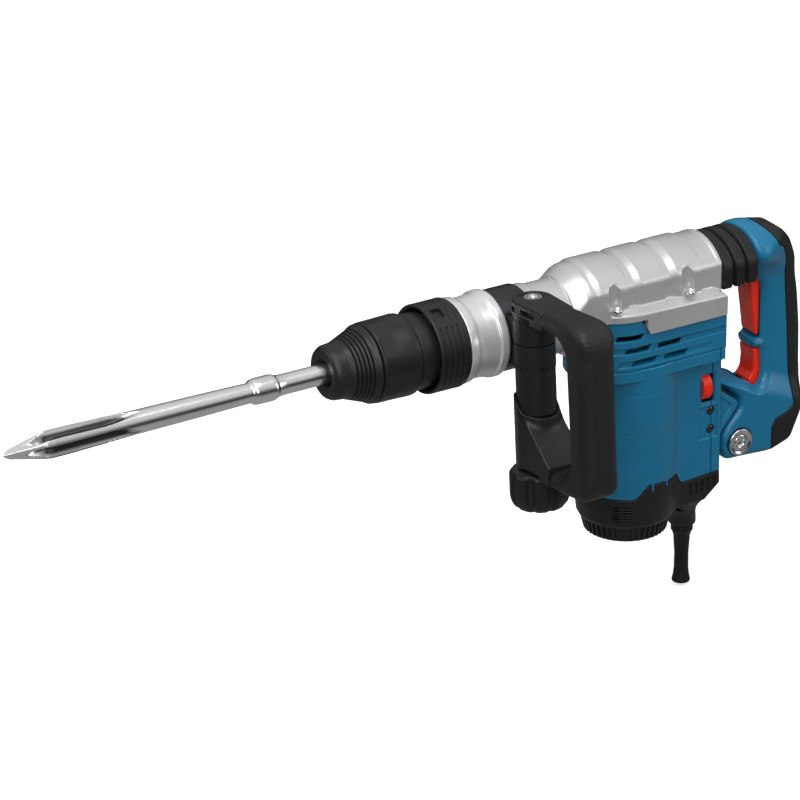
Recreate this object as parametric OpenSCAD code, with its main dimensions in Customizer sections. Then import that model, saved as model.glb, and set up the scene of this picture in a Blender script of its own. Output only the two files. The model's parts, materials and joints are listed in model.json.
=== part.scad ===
// Demolition hammer with a pointed chisel, a sprung rear handle and a swivelling
// side handle. Millimetres. The striking axis is X, the point of the chisel is the
// origin, +X runs back to the rear handle and +Z is up.

/* [Tool bit] */
// Length of the chisel from its point to the end of its shank
chisel_len = 400; // [380:1:420]
// Length of shank held inside the nose
shank_in = 92; // [86:1:96]
// Diameter of the shank
shank_d = 18; // [18:0.1:18.2]
// Diameter of the chisel's stem
stem_d = 21; // [19:0.5:23]

/* [Nose] */
// Diameter of the locking sleeve
sleeve_d = 72; // [70:0.5:73]
// Diameter of the position ring
ring_d = 79; // [77:0.5:80]
// Diameter of the neck behind the nose
neck_d = 66; // [65:0.5:66.6]

/* [Gear housing] */
// Diameter of the round top of the gear housing
drum_d = 88.6; // [86:0.2:90]
// Full width across the ledge of the gear housing
ledge_w = 92; // [90:0.5:94]

/* [Motor] */
// Diameter of the upright motor barrel
barrel_d = 90; // [88:0.5:91]
// Full width of the upper vent section
vent_w = 86; // [84:0.5:88]
// Full width of the box behind the barrel
box_w = 62; // [60:0.5:64]

/* [Crank drive] */
// Teeth on the motor pinion
pinion_teeth = 9; // [9:1:9]
// Teeth on the crank gear
crank_teeth = 57; // [57:1:57]
// Radius of the crank
crank_r = 9; // [8:0.5:9]

/* [Rear handle] */
// Full width of the grip
grip_w = 35; // [33:0.5:37]
// Full width of the lower end of the handle
heel_w = 50; // [48:0.5:52]

/* [Side handle] */
// Distance of the tie rod from the striking axis
rod_out = 51; // [50.5:0.1:51.5]
// Distance from the tie rod to the middle of the side grip
reach = 85; // [82:0.5:88]
// Diameter of the side grip
side_grip_d = 36; // [34:0.5:38]
// Angle at which the side handle stands about the striking axis
side_tilt = -4.4; // [-6:0.1:0]

/* [Hidden] */
$fn = 96;
hull_fn = 32;
run = 0.06;
gap = 0.3;
nose_x = chisel_len - shank_in;
shank_r = shank_d / 2;
stem_r = stem_d / 2;
sleeve_r = sleeve_d / 2;
ring_r = ring_d / 2;
neck_r = neck_d / 2;
drum_r = drum_d / 2;
barrel_r = barrel_d / 2;

// stations along the striking axis
cap_end = nose_x + 40;
sleeve_x0 = nose_x + 41;
sleeve_x1 = nose_x + 98;
ring_x0 = nose_x + 95.2;
ring_x1 = nose_x + 125.5;
collar_x1 = nose_x + 165.5;
drum_x0 = nose_x + 233;
drum_x1 = nose_x + 385;
bellows_x1 = nose_x + 424;
holder_r = 20;
pin_x = nose_x + 44;
pin_r = 3.9;

// motor and crank axes
motor_x = nose_x + 311;
crank_x = motor_x + (pinion_teeth + crank_teeth) / 2;
gear_z0 = -24;
gear_z1 = -15;
tube_ri = 18;
tube_ro = 21.5;
wrist_x = crank_x - 60;

// heights of the motor stack
ledge_top = 8;
ledge_front = -4;
ledge_low = -18.5;
vent_z0 = -50.6;
cap_z0 = -204;
ring_z0 = -219;
box_x1 = nose_x + 390.5;
cover_x0 = nose_x + 380;
gland_x = nose_x + 372;

// rear handle
pivot_x = nose_x + 415.3;
pivot_z = -155;
grip_x0 = nose_x + 440;
grip_x1 = nose_x + 487;
handle_top = 43.5;

// side handle, in its own upright frame before the tilt
rod_x = nose_x + 180.5;
rod_r = 5;
band_x0 = nose_x + 166.5;
band_x1 = nose_x + 195.5;
split_z = 3.6;
tooth_top = 23.6;
tooth_low = -16.4;
teeth = 20;
side_cap_z = 44.2;
arm_end = 30;
knob_z0 = -148.5;
nut_z = -131;
knob_z1 = -110.6;
hub_z0 = -108;

steel = [0.62, 0.63, 0.65];
silver = [0.78, 0.79, 0.8];
black = [0.13, 0.13, 0.14];
charcoal = [0.27, 0.28, 0.3];
blue = [0.1, 0.42, 0.58];
red = [0.85, 0.13, 0.1];
brass = [0.75, 0.6, 0.3];
copper = [0.72, 0.42, 0.25];

// ---- shared shapes ----

// a body turned about the striking axis from [x, radius] points
module turned_x(points) {
  rotate([0, 90, 0])
    rotate_extrude()
      polygon([for (p = points) [p[1], p[0]]]);
}

module bar_x(x0, x1, r) {
  translate([x0, 0, 0])
    rotate([0, 90, 0])
      cylinder(h = x1 - x0, r = r);
}

module tube_x(x0, x1, ro, ri) {
  difference() {
    bar_x(x0, x1, ro);
    bar_x(x0 - 1, x1 + 1, ri);
  }
}

module tube_z(z0, z1, ro, ri) {
  translate([0, 0, z0])
    difference() {
      cylinder(h = z1 - z0, r = ro);
      translate([0, 0, -1])
        cylinder(h = z1 - z0 + 2, r = ri);
    }
}

module bar_z(z0, z1, r) {
  translate([0, 0, z0])
    cylinder(h = z1 - z0, r = r);
}

// a bar along Y, centred on y = 0
module bar_y(width, r) {
  rotate([90, 0, 0])
    cylinder(h = width, r = r, center = true);
}

module box(x0, x1, y0, y1, z0, z1) {
  translate([x0, y0, z0])
    cube([x1 - x0, y1 - y0, z1 - z0]);
}

// a plate with a side profile of [x, z] points, centred on y = 0
module side_plate(points, width) {
  rotate([90, 0, 0])
    linear_extrude(height = width, center = true)
      polygon(points);
}

module at_motor() {
  translate([motor_x, 0, 0])
    children();
}

module at_crank() {
  translate([crank_x, 0, 0])
    children();
}

module at_rod() {
  rotate([side_tilt, 0, 0])
    translate([rod_x, -rod_out, 0])
      children();
}

// the band's own frame: tilted, but still centred on the striking axis
module at_band() {
  rotate([side_tilt, 0, 0])
    children();
}

// straight teeth on a wheel whose pitch radius is teeth / 2 at module 1
module toothed_disc(count, thickness) {
  pitch_r = count / 2;
  linear_extrude(height = thickness)
    union() {
      circle(r = pitch_r - 1.1);
      for (i = [0 : count - 1])
        rotate(i * 360 / count)
          polygon([
            [pitch_r - 1.4, -0.95], [pitch_r, -0.7], [pitch_r + 0.9, -0.3],
            [pitch_r + 0.9, 0.3], [pitch_r, 0.7], [pitch_r - 1.4, 0.95]
          ]);
    }
}

// radial prisms with a triangular section that point up, for the tooth rings
module tooth_prisms(z, height, half) {
  for (i = [0 : teeth - 1])
    rotate([0, 0, i * 360 / teeth])
      translate([8, 0, z])
        rotate([90, 0, 90])
          linear_extrude(height = 14)
            polygon([[-half, 0], [half, 0], [0, height]]);
}

// ---- tool bit and nose ----

module chisel() {
  stem_end = nose_x - 71;
  flute_end = 114;
  flute_out = 16.2;
  color(steel)
    difference() {
      turned_x([
        [0, 0], [0, 1.6], [5, 4.2], [40, stem_r + 1.5], [50, stem_r + 2], [70, stem_r + 1.8],
        [flute_end + 8, stem_r + 0.3], [stem_end, stem_r - 0.7], [stem_end + 4, stem_r + 1.9],
        [stem_end + 22, stem_r + 1.9], [stem_end + 31, shank_r], [chisel_len - 2, shank_r],
        [chisel_len, shank_r - 1.5], [chisel_len, 0]
      ]);
      // four long flutes that keep the point sharp as it wears
      for (a = [17 : 90 : 287])
        rotate([a, 0, 0]) {
          translate([16, 0, flute_out])
            rotate([0, 90, 0])
              cylinder(h = flute_end - 16, r = 10);
          translate([flute_end, 0, flute_out])
            sphere(r = 10);
        }
      // two closed grooves for the locking pins
      for (a = [0, 180])
        rotate([a, 0, 0])
          translate([0, 0, 10.2]) {
            bar_x(pin_x - 0.4, pin_x + 20.4, pin_r + 0.1);
            translate([pin_x - 0.4, 0, 0])
              sphere(r = pin_r + 0.1);
            translate([pin_x + 20.4, 0, 0])
              sphere(r = pin_r + 0.1);
          }
      // three open splines from the end of the shank
      for (a = [60, 90, 120])
        rotate([a, 0, 0])
          box(chisel_len - 55, chisel_len + 1, -1.6, 1.6, shank_r - 2.2, shank_r + 1);
    }
}

module dust_cap() {
  groove_x = nose_x + 19;
  color(charcoal)
    difference() {
      turned_x([
        [nose_x + 0.5, 13.5], [nose_x + 0.5, 20.5], [nose_x + 2.5, 23], [nose_x + 6, 24.2],
        [nose_x + 14, 24.4], [nose_x + 37, 33.4], [cap_end, 35], [cap_end, 14.3],
        [nose_x + 10, 14.3], [nose_x + 8.5, shank_r + 0.5], [nose_x + 6, shank_r + 0.5]
      ]);
      for (i = [0 : 4])
        tube_x(groove_x + i * 3.3, groove_x + i * 3.3 + 1.1, 40, 25.4 + i * 1.3);
    }
}

module tool_holder() {
  chamber_x = chisel_len + 4;
  color(steel)
    difference() {
      turned_x([
        [nose_x + 11, shank_r + run], [nose_x + 11, 14], [sleeve_x0 - 1, 14],
        [sleeve_x0 - 1, holder_r], [nose_x + 84, holder_r], [nose_x + 84, 27],
        [nose_x + 87, 27], [nose_x + 87, holder_r], [nose_x + 130, holder_r],
        [nose_x + 130, 24], [nose_x + 135, 24], [nose_x + 135, 13],
        [chamber_x, 13], [chamber_x, shank_r + run]
      ]);
      for (a = [0, 180])
        rotate([a, 0, 0])
          translate([pin_x, 0, 0])
            bar_z(6, holder_r + 1, pin_r + 0.05);
    }
}

module locking_pins() {
  color(steel)
    for (a = [0, 180])
      rotate([a, 0, 0])
        translate([pin_x, 0, 0])
          union() {
            bar_z(10.4, holder_r - 0.2, pin_r);
            translate([0, 0, 10.4])
              sphere(r = pin_r);
          }
}

module locking_sleeve() {
  color(charcoal)
    difference() {
      turned_x([
        [sleeve_x0, holder_r + 0.3], [sleeve_x0, sleeve_r - 1], [sleeve_x0 + 1.5, sleeve_r - 0.2],
        [sleeve_x0 + 6, sleeve_r], [nose_x + 75, sleeve_r], [nose_x + 78, sleeve_r - 0.8],
        [nose_x + 80.5, sleeve_r - 3], [sleeve_x1, sleeve_r - 3], [sleeve_x1, 31],
        [nose_x + 57, 31], [nose_x + 57, holder_r + 0.3]
      ]);
      tube_x(nose_x + 80.6, nose_x + 81.4, 40, sleeve_r - 3.8);
      // shallow finger flats around the sleeve
      for (a = [0 : 60 : 300])
        rotate([a + 8, 0, 0])
          translate([nose_x + 67, 0, sleeve_r + 31])
            sphere(r = 32);
    }
}

module sleeve_spring() {
  coils = 5;
  pitch = 5;
  color(steel)
    union() {
      for (i = [0 : coils - 1])
        translate([nose_x + 60 + i * pitch, 0, 0])
          rotate([0, 90, 0])
            rotate_extrude()
              translate([24.5, 0])
                circle(r = 1.6);
      for (a = [0, 180])
        rotate([a, 0, 0])
          translate([0, 0, 24.5])
            bar_x(nose_x + 60, nose_x + 60 + (coils - 1) * pitch, 0.9);
    }
}

module position_ring() {
  color(charcoal)
    difference() {
      turned_x([
        [ring_x0 + 4.5, sleeve_r - 2.6], [ring_x0, ring_r - 2.2], [ring_x0 + 0.3, ring_r - 0.6],
        [ring_x0 + 1.5, ring_r - 0.1], [ring_x1 - 2, ring_r], [ring_x1, ring_r - 0.8],
        [ring_x1, 28.3], [nose_x + 112, 28.3], [nose_x + 112, sleeve_r - 2.6]
      ]);
      for (i = [0 : 3])
        tube_x(ring_x0 + 5 + i * 4.2, ring_x0 + 6.6 + i * 4.2, 45, ring_r - 1.1);
      // window for the position mark
      rotate([-14, 0, 0])
        box(ring_x0 + 6, ring_x0 + 19, -8, 8, ring_r - 2, ring_r + 3);
    }
}

module front_collar() {
  x0 = ring_x1 + 0.6;
  color(silver)
    turned_x([
      [x0, neck_r + 0.02], [x0, 38.4], [x0 + 3, 38.2], [x0 + 8, 37.4], [x0 + 10.5, 36.3],
      [x0 + 12.5, 36], [x0 + 20, 36.3], [x0 + 31, 37.8], [collar_x1 - 2, 37.9],
      [collar_x1, 36.9], [collar_x1, neck_r + 0.02]
    ]);
}

module impact_bolt() {
  flange_x = nose_x + 112;
  color(steel)
    turned_x([
      [chisel_len + 0.3, 0], [chisel_len + 0.3, 8.4], [chisel_len + 1, 8.8], [flange_x, 8.8],
      [flange_x, 12.9], [flange_x + 17, 12.9], [flange_x + 19, 10], [nose_x + 188, 10],
      [nose_x + 189.5, 8.5], [nose_x + 189.5, 0]
    ]);
}

// ---- hammer mechanism ----

module gear_housing() {
  bore_r = 25;
  inner_r = drum_r - 4;
  step_x = nose_x + 298;
  color(silver)
    difference() {
      union() {
        // neck, bead, shoulder and round drum
        turned_x([
          [nose_x + 108, bore_r - 4.9], [nose_x + 108, 28], [ring_x1 + 0.4, 28],
          [ring_x1 + 0.4, neck_r], [nose_x + 197, neck_r], [nose_x + 198, neck_r + 1.6],
          [nose_x + 205, neck_r + 1.6], [nose_x + 207, neck_r], [drum_x0, neck_r - 0.6],
          [nose_x + 237, 34.5], [nose_x + 243.5, 39.3], [nose_x + 247.5, 42.4],
          [nose_x + 251.5, drum_r - 0.8], [nose_x + 258, drum_r], [drum_x1, drum_r],
          [drum_x1, 24], [nose_x + 150, bore_r - 4.9]
        ]);
        // ledge down both sides and the flange under it
        side_plate([
          [nose_x + 254, ledge_front], [step_x, ledge_front], [step_x + 7, ledge_low],
          [drum_x1, ledge_low], [drum_x1, ledge_top], [nose_x + 262, ledge_top],
          [nose_x + 254, ledge_front + 3]
        ], ledge_w);
      }
      // bores
      bar_x(nose_x + 129.7, nose_x + 146, bore_r);
      bar_x(nose_x + 145, nose_x + 252, tube_ro + 0.02);
      intersection() {
        bar_x(nose_x + 251, drum_x1 - 5, inner_r);
        box(nose_x + 250, drum_x1, -32.5, 32.5, -60, 60);
      }
      // flat sides above the ledge
      for (s = [-1, 1])
        translate([0, s * 51, 0])
          box(nose_x + 270, drum_x1 + 1, -15, 15, ledge_top, 60);
      // screw pockets in the flat sides
      for (s = [-1, 1], x = [nose_x + 272.5, nose_x + 348.5])
        translate([x, s * 40.8, ledge_top + 0.2])
          cylinder(h = 60, r = 6.2);
      // everything under the ledge line
      box(nose_x + 236, step_x, -60, 60, -60, ledge_front);
      box(step_x - 1, drum_x1 + 1, -60, 60, -60, ledge_low);
      side_plate([
        [step_x - 1, ledge_front], [step_x, ledge_front], [step_x + 7, ledge_low],
        [step_x + 7, -60], [step_x - 1, -60]
      ], 120);
      // the drum is open underneath for the crank gear
      box(nose_x + 270, drum_x1 - 5, -38, 38, -40, 4);
      box(nose_x + 251, nose_x + 271, -32, 32, -40, 0);
    }
}

module hammer_tube() {
  color(steel)
    difference() {
      bar_x(nose_x + 147, nose_x + 304, tube_ro);
      bar_x(nose_x + 172, nose_x + 305, tube_ri);
      bar_x(nose_x + 146, nose_x + 173, 10.05);
      // air ports
      for (x = [nose_x + 218, nose_x + 226])
        translate([x, 0, 0])
          bar_z(0, tube_ro + 1, 2);
    }
}

module striker() {
  color(steel)
    difference() {
      turned_x([
        [nose_x + 210, 0], [nose_x + 210, 10], [nose_x + 213, tube_ri - run],
        [nose_x + 236, tube_ri - run], [nose_x + 236, 0]
      ]);
      tube_x(nose_x + 222, nose_x + 225, 30, tube_ri - 1.6);
    }
}

module piston() {
  x0 = wrist_x - 38;
  color([0.5, 0.5, 0.52])
    difference() {
      bar_x(x0, wrist_x + 12, tube_ri - run);
      bar_x(x0 + 8, wrist_x + 13, 14.6);
      tube_x(x0 + 3, x0 + 5.4, 30, tube_ri - 1.8);
    }
}

module connecting_rod() {
  pin_bore = 5.06;
  color([0.5, 0.5, 0.52])
    translate([0, 0, -4])
      difference() {
        union() {
          translate([crank_x - crank_r, 0, 0])
            cylinder(h = 8, r = 8.6);
          translate([wrist_x - crank_r, 0, 0])
            cylinder(h = 8, r = 4);
          translate([wrist_x - crank_r, -3, 1])
            cube([60, 6, 6]);
        }
        translate([crank_x - crank_r, 0, -1])
          cylinder(h = 10, r = pin_bore);
      }
}

module crank_gear() {
  color([0.55, 0.55, 0.57])
    at_crank()
      union() {
        translate([0, 0, gear_z0])
          toothed_disc(crank_teeth, gear_z1 - gear_z0);
        bar_z(gear_z1, -5, 15);
        bar_z(-42, gear_z0, 7);
        translate([-crank_r, 0, 0])
          bar_z(-5, 5.5, 5);
      }
}

module crank_bearing() {
  color(steel)
    at_crank()
      tube_z(-42, -30, 15, 7.06);
}

// ---- motor ----

module armature_shaft() {
  color(steel)
    at_motor()
      union() {
        bar_z(-193.9, gear_z0 - 3, 5);
        bar_z(gear_z0 - 3, gear_z1 + 1, 3.3);
        translate([0, 0, gear_z0 - 2])
          toothed_disc(pinion_teeth, gear_z1 - gear_z0 + 3);
      }
}

module armature_core() {
  slots = 12;
  color(copper)
    at_motor()
      difference() {
        union() {
          bar_z(-142, -84, 22);
          bar_z(-150, -142, 17);
          bar_z(-84, -78, 17);
          bar_z(-178, -154, 12);
        }
        bar_z(-180, -70, 5.01);
        for (i = [0 : slots - 1])
          rotate([0, 0, i * 360 / slots])
            box(20, 23, -1, 1, -150, -80);
      }
}

module cooling_fan() {
  blades = 14;
  color(black)
    at_motor()
      difference() {
        union() {
          bar_z(-72, -69.5, 34);
          bar_z(-72, -58, 9);
          for (i = [0 : blades - 1])
            rotate([0, 0, i * 360 / blades])
              box(14, 33.5, -0.9, 0.9, -70, -60);
        }
        bar_z(-73, -57, 5.01);
      }
}

module armature_bearings() {
  color(steel)
    at_motor() {
      tube_z(-53, -43, 13, 5.06);
      tube_z(-194, -184, 11, 5.06);
    }
}

module stator() {
  color([0.35, 0.33, 0.3])
    at_motor()
      difference() {
        union() {
          bar_z(-140, -86, barrel_r - 4.6);
          tube_z(-147, -79, 34, 25);
        }
        bar_z(-150, -76, 24);
      }
}

module brush_holders() {
  color(brass)
    at_motor()
      for (a = [0, 180])
        rotate([0, 0, a + 90])
          difference() {
            box(13.5, barrel_r - 6, -6, 6, -174, -158);
            box(12, 36, -4.1, 4.1, -171.1, -160.9);
          }
}

module carbon_brushes() {
  color(black)
    at_motor()
      for (a = [0, 180])
        rotate([0, 0, a + 90])
          box(12.3, 28, -4, 4, -171, -161);
}

// plan of the upper body: a round nose with straight sides behind it
module body_plan(width, x1) {
  union() {
    translate([nose_x + 252 + width / 2, 0])
      circle(d = width);
    translate([nose_x + 252 + width / 2, -width / 2])
      square([x1 - nose_x - 252 - width / 2, width]);
  }
}

module vent_slots() {
  rows = [[274, -22], [281.5, -34], [288, -46.4]];
  for (r = rows)
    side_plate([
      [nose_x + r[0] - 1, r[1]], [nose_x + r[0] + 25, r[1]],
      [nose_x + r[0] + 27, r[1] + 5.5], [nose_x + r[0] + 1, r[1] + 5.5]
    ], 120);
  for (r = [[314, -34.6], [320.5, -46.8]])
    side_plate([
      [nose_x + r[0] - 1, r[1]], [nose_x + r[0] + 25, r[1]],
      [nose_x + r[0] + 27, r[1] + 5.5], [nose_x + r[0] + 1, r[1] + 5.5]
    ], 120);
}

module vent_housing() {
  step_x = nose_x + 298;
  color(blue) {
    difference() {
      intersection() {
        translate([0, 0, vent_z0])
          linear_extrude(height = 60)
            body_plan(vent_w, drum_x1 + 1);
        side_plate([
          [nose_x + 240, vent_z0], [drum_x1 + 1, vent_z0], [drum_x1 + 1, ledge_low - 0.3],
          [step_x + 6.8, ledge_low - 0.3], [step_x - 0.2, ledge_front - 0.3],
          [nose_x + 240, ledge_front - 0.3]
        ], 120);
      }
      translate([0, 0, vent_z0 + 6])
        linear_extrude(height = 60)
          body_plan(vent_w - 7, drum_x1 - 3.5);
      vent_slots();
      // room for the hammer tube through the front wall
      bar_x(nose_x + 240, nose_x + 275, tube_ro + 0.6);
      at_motor()
        bar_z(vent_z0 - 1, 0, 13.02);
    }
    // seat of the crank bearing
    at_crank()
      difference() {
        bar_z(vent_z0 + 5.9, -31, 18);
        bar_z(-42.3, 0, 15.02);
      }
  }
}

module electronics_window() {
  // slot for the speed wheel and two round lens holes in the left side
  box(cover_x0 - 11, cover_x0 + 2, -box_w / 2 - 1, -box_w / 2 + 14, -105, -77.5);
  for (z = [-114.5, -132])
    translate([cover_x0 - 0.2, 0, z])
      rotate([90, 0, 0])
        cylinder(h = box_w / 2 + 1, r = 4.02);
}

module motor_stack_profile(z_bottom) {
  side_plate([
    [nose_x + 240, vent_z0 - 0.4], [nose_x + 400, vent_z0 - 0.4], [nose_x + 400, z_bottom + 2.5],
    [nose_x + 345, z_bottom], [nose_x + 333, z_bottom + 10], [nose_x + 304, z_bottom + 14],
    [nose_x + 289, z_bottom], [nose_x + 240, z_bottom]
  ], 130);
}

module motor_housing() {
  split = -175;
  color(blue)
    difference() {
      intersection() {
        union() {
          translate([0, 0, -59])
            linear_extrude(height = 9)
              body_plan(vent_w, nose_x + 372);
          translate([0, 0, -68])
            linear_extrude(height = 10)
              body_plan(vent_w - 8, nose_x + 372);
          at_motor()
            bar_z(-180, -60, barrel_r);
          box(motor_x, cover_x0 - 0.2, -box_w / 2, box_w / 2, -180, -52);
        }
        motor_stack_profile(split);
      }
      at_motor() {
        bar_z(-181, -57, barrel_r - 4.5);
        bar_z(-60, -40, 13.02);
      }
      box(crank_x, cover_x0 + 1, -box_w / 2 + 3, box_w / 2 - 3, -181, -57);
      electronics_window();
      // small cooling slot above the speed wheel
      box(nose_x + 361, nose_x + 369, -box_w, -box_w / 2 + 4, -68.5, -65.5);
    }
}

module rear_cover() {
  // closes the back of the box and carries the two ears for the handle pivot
  tongue_r = 14;
  color(blue)
    difference() {
      union() {
        box(cover_x0, box_x1, -box_w / 2, box_w / 2, -172.2, vent_z0 - 0.4);
        side_plate([
          [box_x1 - 2, -98], [nose_x + 413, -116.5], [nose_x + 413, -121],
          [nose_x + 398, -139], [box_x1 - 2, -142]
        ], heel_w);
        side_plate([
          [box_x1 - 2, -140], [nose_x + 398, -138], [pivot_x + 9, pivot_z + 10.5],
          [pivot_x, pivot_z - tongue_r], [box_x1 - 2, -168]
        ], 20);
        translate([pivot_x, 0, pivot_z])
          bar_y(20, tongue_r);
      }
      box(cover_x0 - 1, box_x1 - 3, -box_w / 2 + 3, box_w / 2 - 3, -173, -56);
      translate([pivot_x, 0, pivot_z])
        bar_y(30, 8.02);
      electronics_window();
    }
}

module motor_end_cap() {
  split = -175;
  slot_pitch = 6.2;
  wall_r = barrel_r - 5;
  color(charcoal)
    difference() {
      union() {
        at_motor()
          translate([0, 0, cap_z0])
            rotate_extrude()
              polygon([
                [0, 0], [barrel_r - 4.5, 0], [barrel_r - 1.8, 4], [barrel_r, 25],
                [barrel_r, 60], [0, 60]
              ]);
        side_plate([
          [motor_x + 12, -160], [box_x1, -160], [box_x1, -186], [nose_x + 375, -199],
          [motor_x + 12, -199]
        ], box_w);
      }
      motor_stack_profile(split - 0.3);
      at_motor() {
        difference() {
          bar_z(cap_z0 + 3, -150, wall_r);
          bar_z(cap_z0 + 2, -184.2, 14);
        }
        bar_z(-194.2, -150, 11.02);
        for (i = [0 : 7])
          rotate([0, 0, i * 45])
            translate([23, 0, 0])
              bar_z(cap_z0 - 1, cap_z0 + 5, 6);
      }
      box(crank_x + 8, box_x1 - 4, -box_w / 2 + 3, box_w / 2 - 3, -183, -150);
      // five upright slots in each flank of the box
      for (i = [0 : 4], s = [-1, 1])
        translate([nose_x + 357 + i * slot_pitch, s * (box_w / 2 - 1), -193 + i * 0.9])
          translate([0, -6, 0])
            cube([2.6, 12, 12.4]);
      // paired barred vents in the front quarters
      for (s = [-1, 1], a = [222, 236])
        at_motor()
          rotate([0, 0, s < 0 ? a : 360 - a])
            for (k = [0 : 3])
              box(36, 50, -3.2, 3.2, -195.5 + k * 3.8, -193.3 + k * 3.8);
    }
}

module intake_ring() {
  ribs = 44;
  color(charcoal)
    at_motor()
      union() {
        difference() {
          translate([0, 0, ring_z0])
            rotate_extrude()
              polygon([
                [22, 0], [barrel_r - 10, 0], [barrel_r - 6, cap_z0 - ring_z0 - 0.2],
                [22, cap_z0 - ring_z0 - 0.2]
              ]);
          bar_z(ring_z0 + 2, cap_z0, 28);
        }
        for (i = [0 : ribs - 1])
          rotate([0, 0, i * 360 / ribs])
            translate([0, 0, ring_z0 + 0.8])
              rotate([90, 0, 0])
                linear_extrude(height = 2.4, center = true)
                  polygon([
                    [30, 0], [barrel_r - 8.2, 0], [barrel_r - 4.6, 13.6], [30, 13.6]
                  ]);
      }
}

module housing_screws() {
  color(steel)
    for (s = [-1, 1], x = [nose_x + 272.5, nose_x + 348.5])
      translate([x, s * 40.8, ledge_top + 0.2])
        difference() {
          cylinder(h = 3.2, r = 4.6);
          translate([0, 0, 1.4])
            cylinder(h = 3, r = 2.4, $fn = 6);
        }
}

module electronics_module() {
  color([0.15, 0.3, 0.2])
    box(nose_x + 358, nose_x + 366, -box_w / 2 + 3.1, box_w / 2 - 3.1, -160, -74);
}

module speed_wheel() {
  wheel_r = 13.5;
  axle_y = -box_w / 2 + 10.8;
  ribs = 36;
  color(red)
    translate([0, axle_y, -91.5])
      union() {
        bar_x(cover_x0 - 10, cover_x0 - 1, wheel_r - 0.7);
        bar_x(cover_x0 - 13, cover_x0 + 3.5, 2.5);
        for (i = [0 : ribs - 1])
          rotate([i * 360 / ribs, 0, 0])
            box(cover_x0 - 10, cover_x0 - 1, -0.65, 0.65, wheel_r - 2, wheel_r);
      }
}

module indicator_lenses() {
  color([0.2, 0.2, 0.2])
    for (z = [-114.5, -132])
      translate([cover_x0 - 0.2, -box_w / 2 + 3.4, z])
        rotate([90, 0, 0])
          cylinder(h = 3.2, r = 4);
}

module cord_gland() {
  color(charcoal)
    difference() {
      hull() {
        box(nose_x + 348, nose_x + 383, -28, 28, -200.6, -199.3);
        translate([gland_x, 0, -230])
          cylinder(h = 1, r = 12.5, $fn = hull_fn);
        translate([gland_x - 4, 0, -214])
          cylinder(h = 1, r = 19, $fn = hull_fn);
      }
      translate([gland_x, 0, 0])
        bar_z(-240, -190, 8.02);
      box(nose_x + 355, nose_x + 379, -17, 17, -212, -195);
      at_motor()
        bar_z(-250, -150, barrel_r + 0.3);
    }
}

module cord_clamp() {
  color(black)
    difference() {
      box(gland_x - 12, gland_x + 4, -14, 14, -211.8, -206.6);
      translate([gland_x, 0, 0])
        bar_z(-215, -200, 4.6);
    }
}

module strain_relief() {
  bore_r = 4.6;
  color(black)
    translate([gland_x, 0, 0])
      rotate_extrude()
        polygon([
          [bore_r, -289], [7.6, -289], [8.2, -287.6], [7.4, -283], [6.6, -276], [6.3, -262],
          [7.4, -244], [8.2, -242.5], [8.2, -240.5], [9.9, -238.8], [9.9, -231.2],
          [8, -231.2], [8, -212.2], [bore_r, -212.2]
        ]);
}

// ---- rear handle ----

// the bellows' and handle's front section: a round top with straight sides
module top_section(x0, x1, r, half_w, z0) {
  intersection() {
    bar_x(x0, x1, r);
    box(x0 - 1, x1 + 1, -half_w, half_w, z0, r + 1);
  }
}

module bellows() {
  x0 = drum_x1 + 0.3;
  fold = (bellows_x1 - x0) / 4;
  color(black)
    difference() {
      union() {
        top_section(x0, bellows_x1, 38.6, 33, 2);
        for (i = [0 : 3])
          top_section(x0 + i * fold, x0 + i * fold + fold * 0.62, 41.4, 36, 0);
      }
      top_section(x0 - 1, bellows_x1 + 1, 33, 28, 6);
    }
}

module handle_spring() {
  coils = 6;
  color(steel)
    translate([0, 0, 20])
      union() {
        for (i = [0 : coils - 1])
          translate([drum_x1 + 3 + i * 5.6, 0, 0])
            rotate([0, 90, 0])
              rotate_extrude()
                translate([8, 0])
                  circle(r = 1.3);
        for (a = [0, 180])
          rotate([a, 0, 0])
            translate([0, 0, 8])
              bar_x(drum_x1 + 3, drum_x1 + 3 + (coils - 1) * 5.6, 0.8);
      }
}

// outer body of the rear handle, shared by its two shells
module handle_solid() {
  union() {
    // head behind the bellows
    intersection() {
      union() {
        bar_x(bellows_x1 + 0.3, nose_x + 452, handle_top);
        translate([nose_x + 452, 0, 0])
          rotate([0, 90, 0])
            cylinder(h = 32, r = handle_top);
      }
      side_plate([
        [bellows_x1 + 0.3, 0], [nose_x + 445, -6], [grip_x1 - 16, -12], [grip_x1 - 16, 18],
        [nose_x + 466, 34], [nose_x + 455, 42.6], [nose_x + 446, handle_top],
        [bellows_x1 + 0.3, 43.2]
      ], 66);
    }
    // grip
    hull() {
      for (p = [[453, -4, grip_w - 6], [453, -112, grip_w - 4]], s = [-1, 1])
        translate([nose_x + p[0], s * (p[2] / 2 - 12), p[1]])
          sphere(r = 14, $fn = hull_fn);
      for (z = [10, -120], s = [-1, 1])
        translate([nose_x + 466, s * (grip_w / 2 - 8), z])
          sphere(r = 8, $fn = hull_fn);
    }
    // heel around the pivot
    side_plate([
      [nose_x + 395, -95.5], [nose_x + 432, -103], [nose_x + 452, -100], [nose_x + 474, -118],
      [nose_x + 474, -142], [nose_x + 452, -146], [nose_x + 451, -174], [pivot_x + 4, -170.5],
      [pivot_x - 14, -171], [nose_x + 398, -163], [nose_x + 396, -148], [nose_x + 402, -139],
      [nose_x + 418, -122], [nose_x + 417, -114]
    ], heel_w);
  }
}

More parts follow.
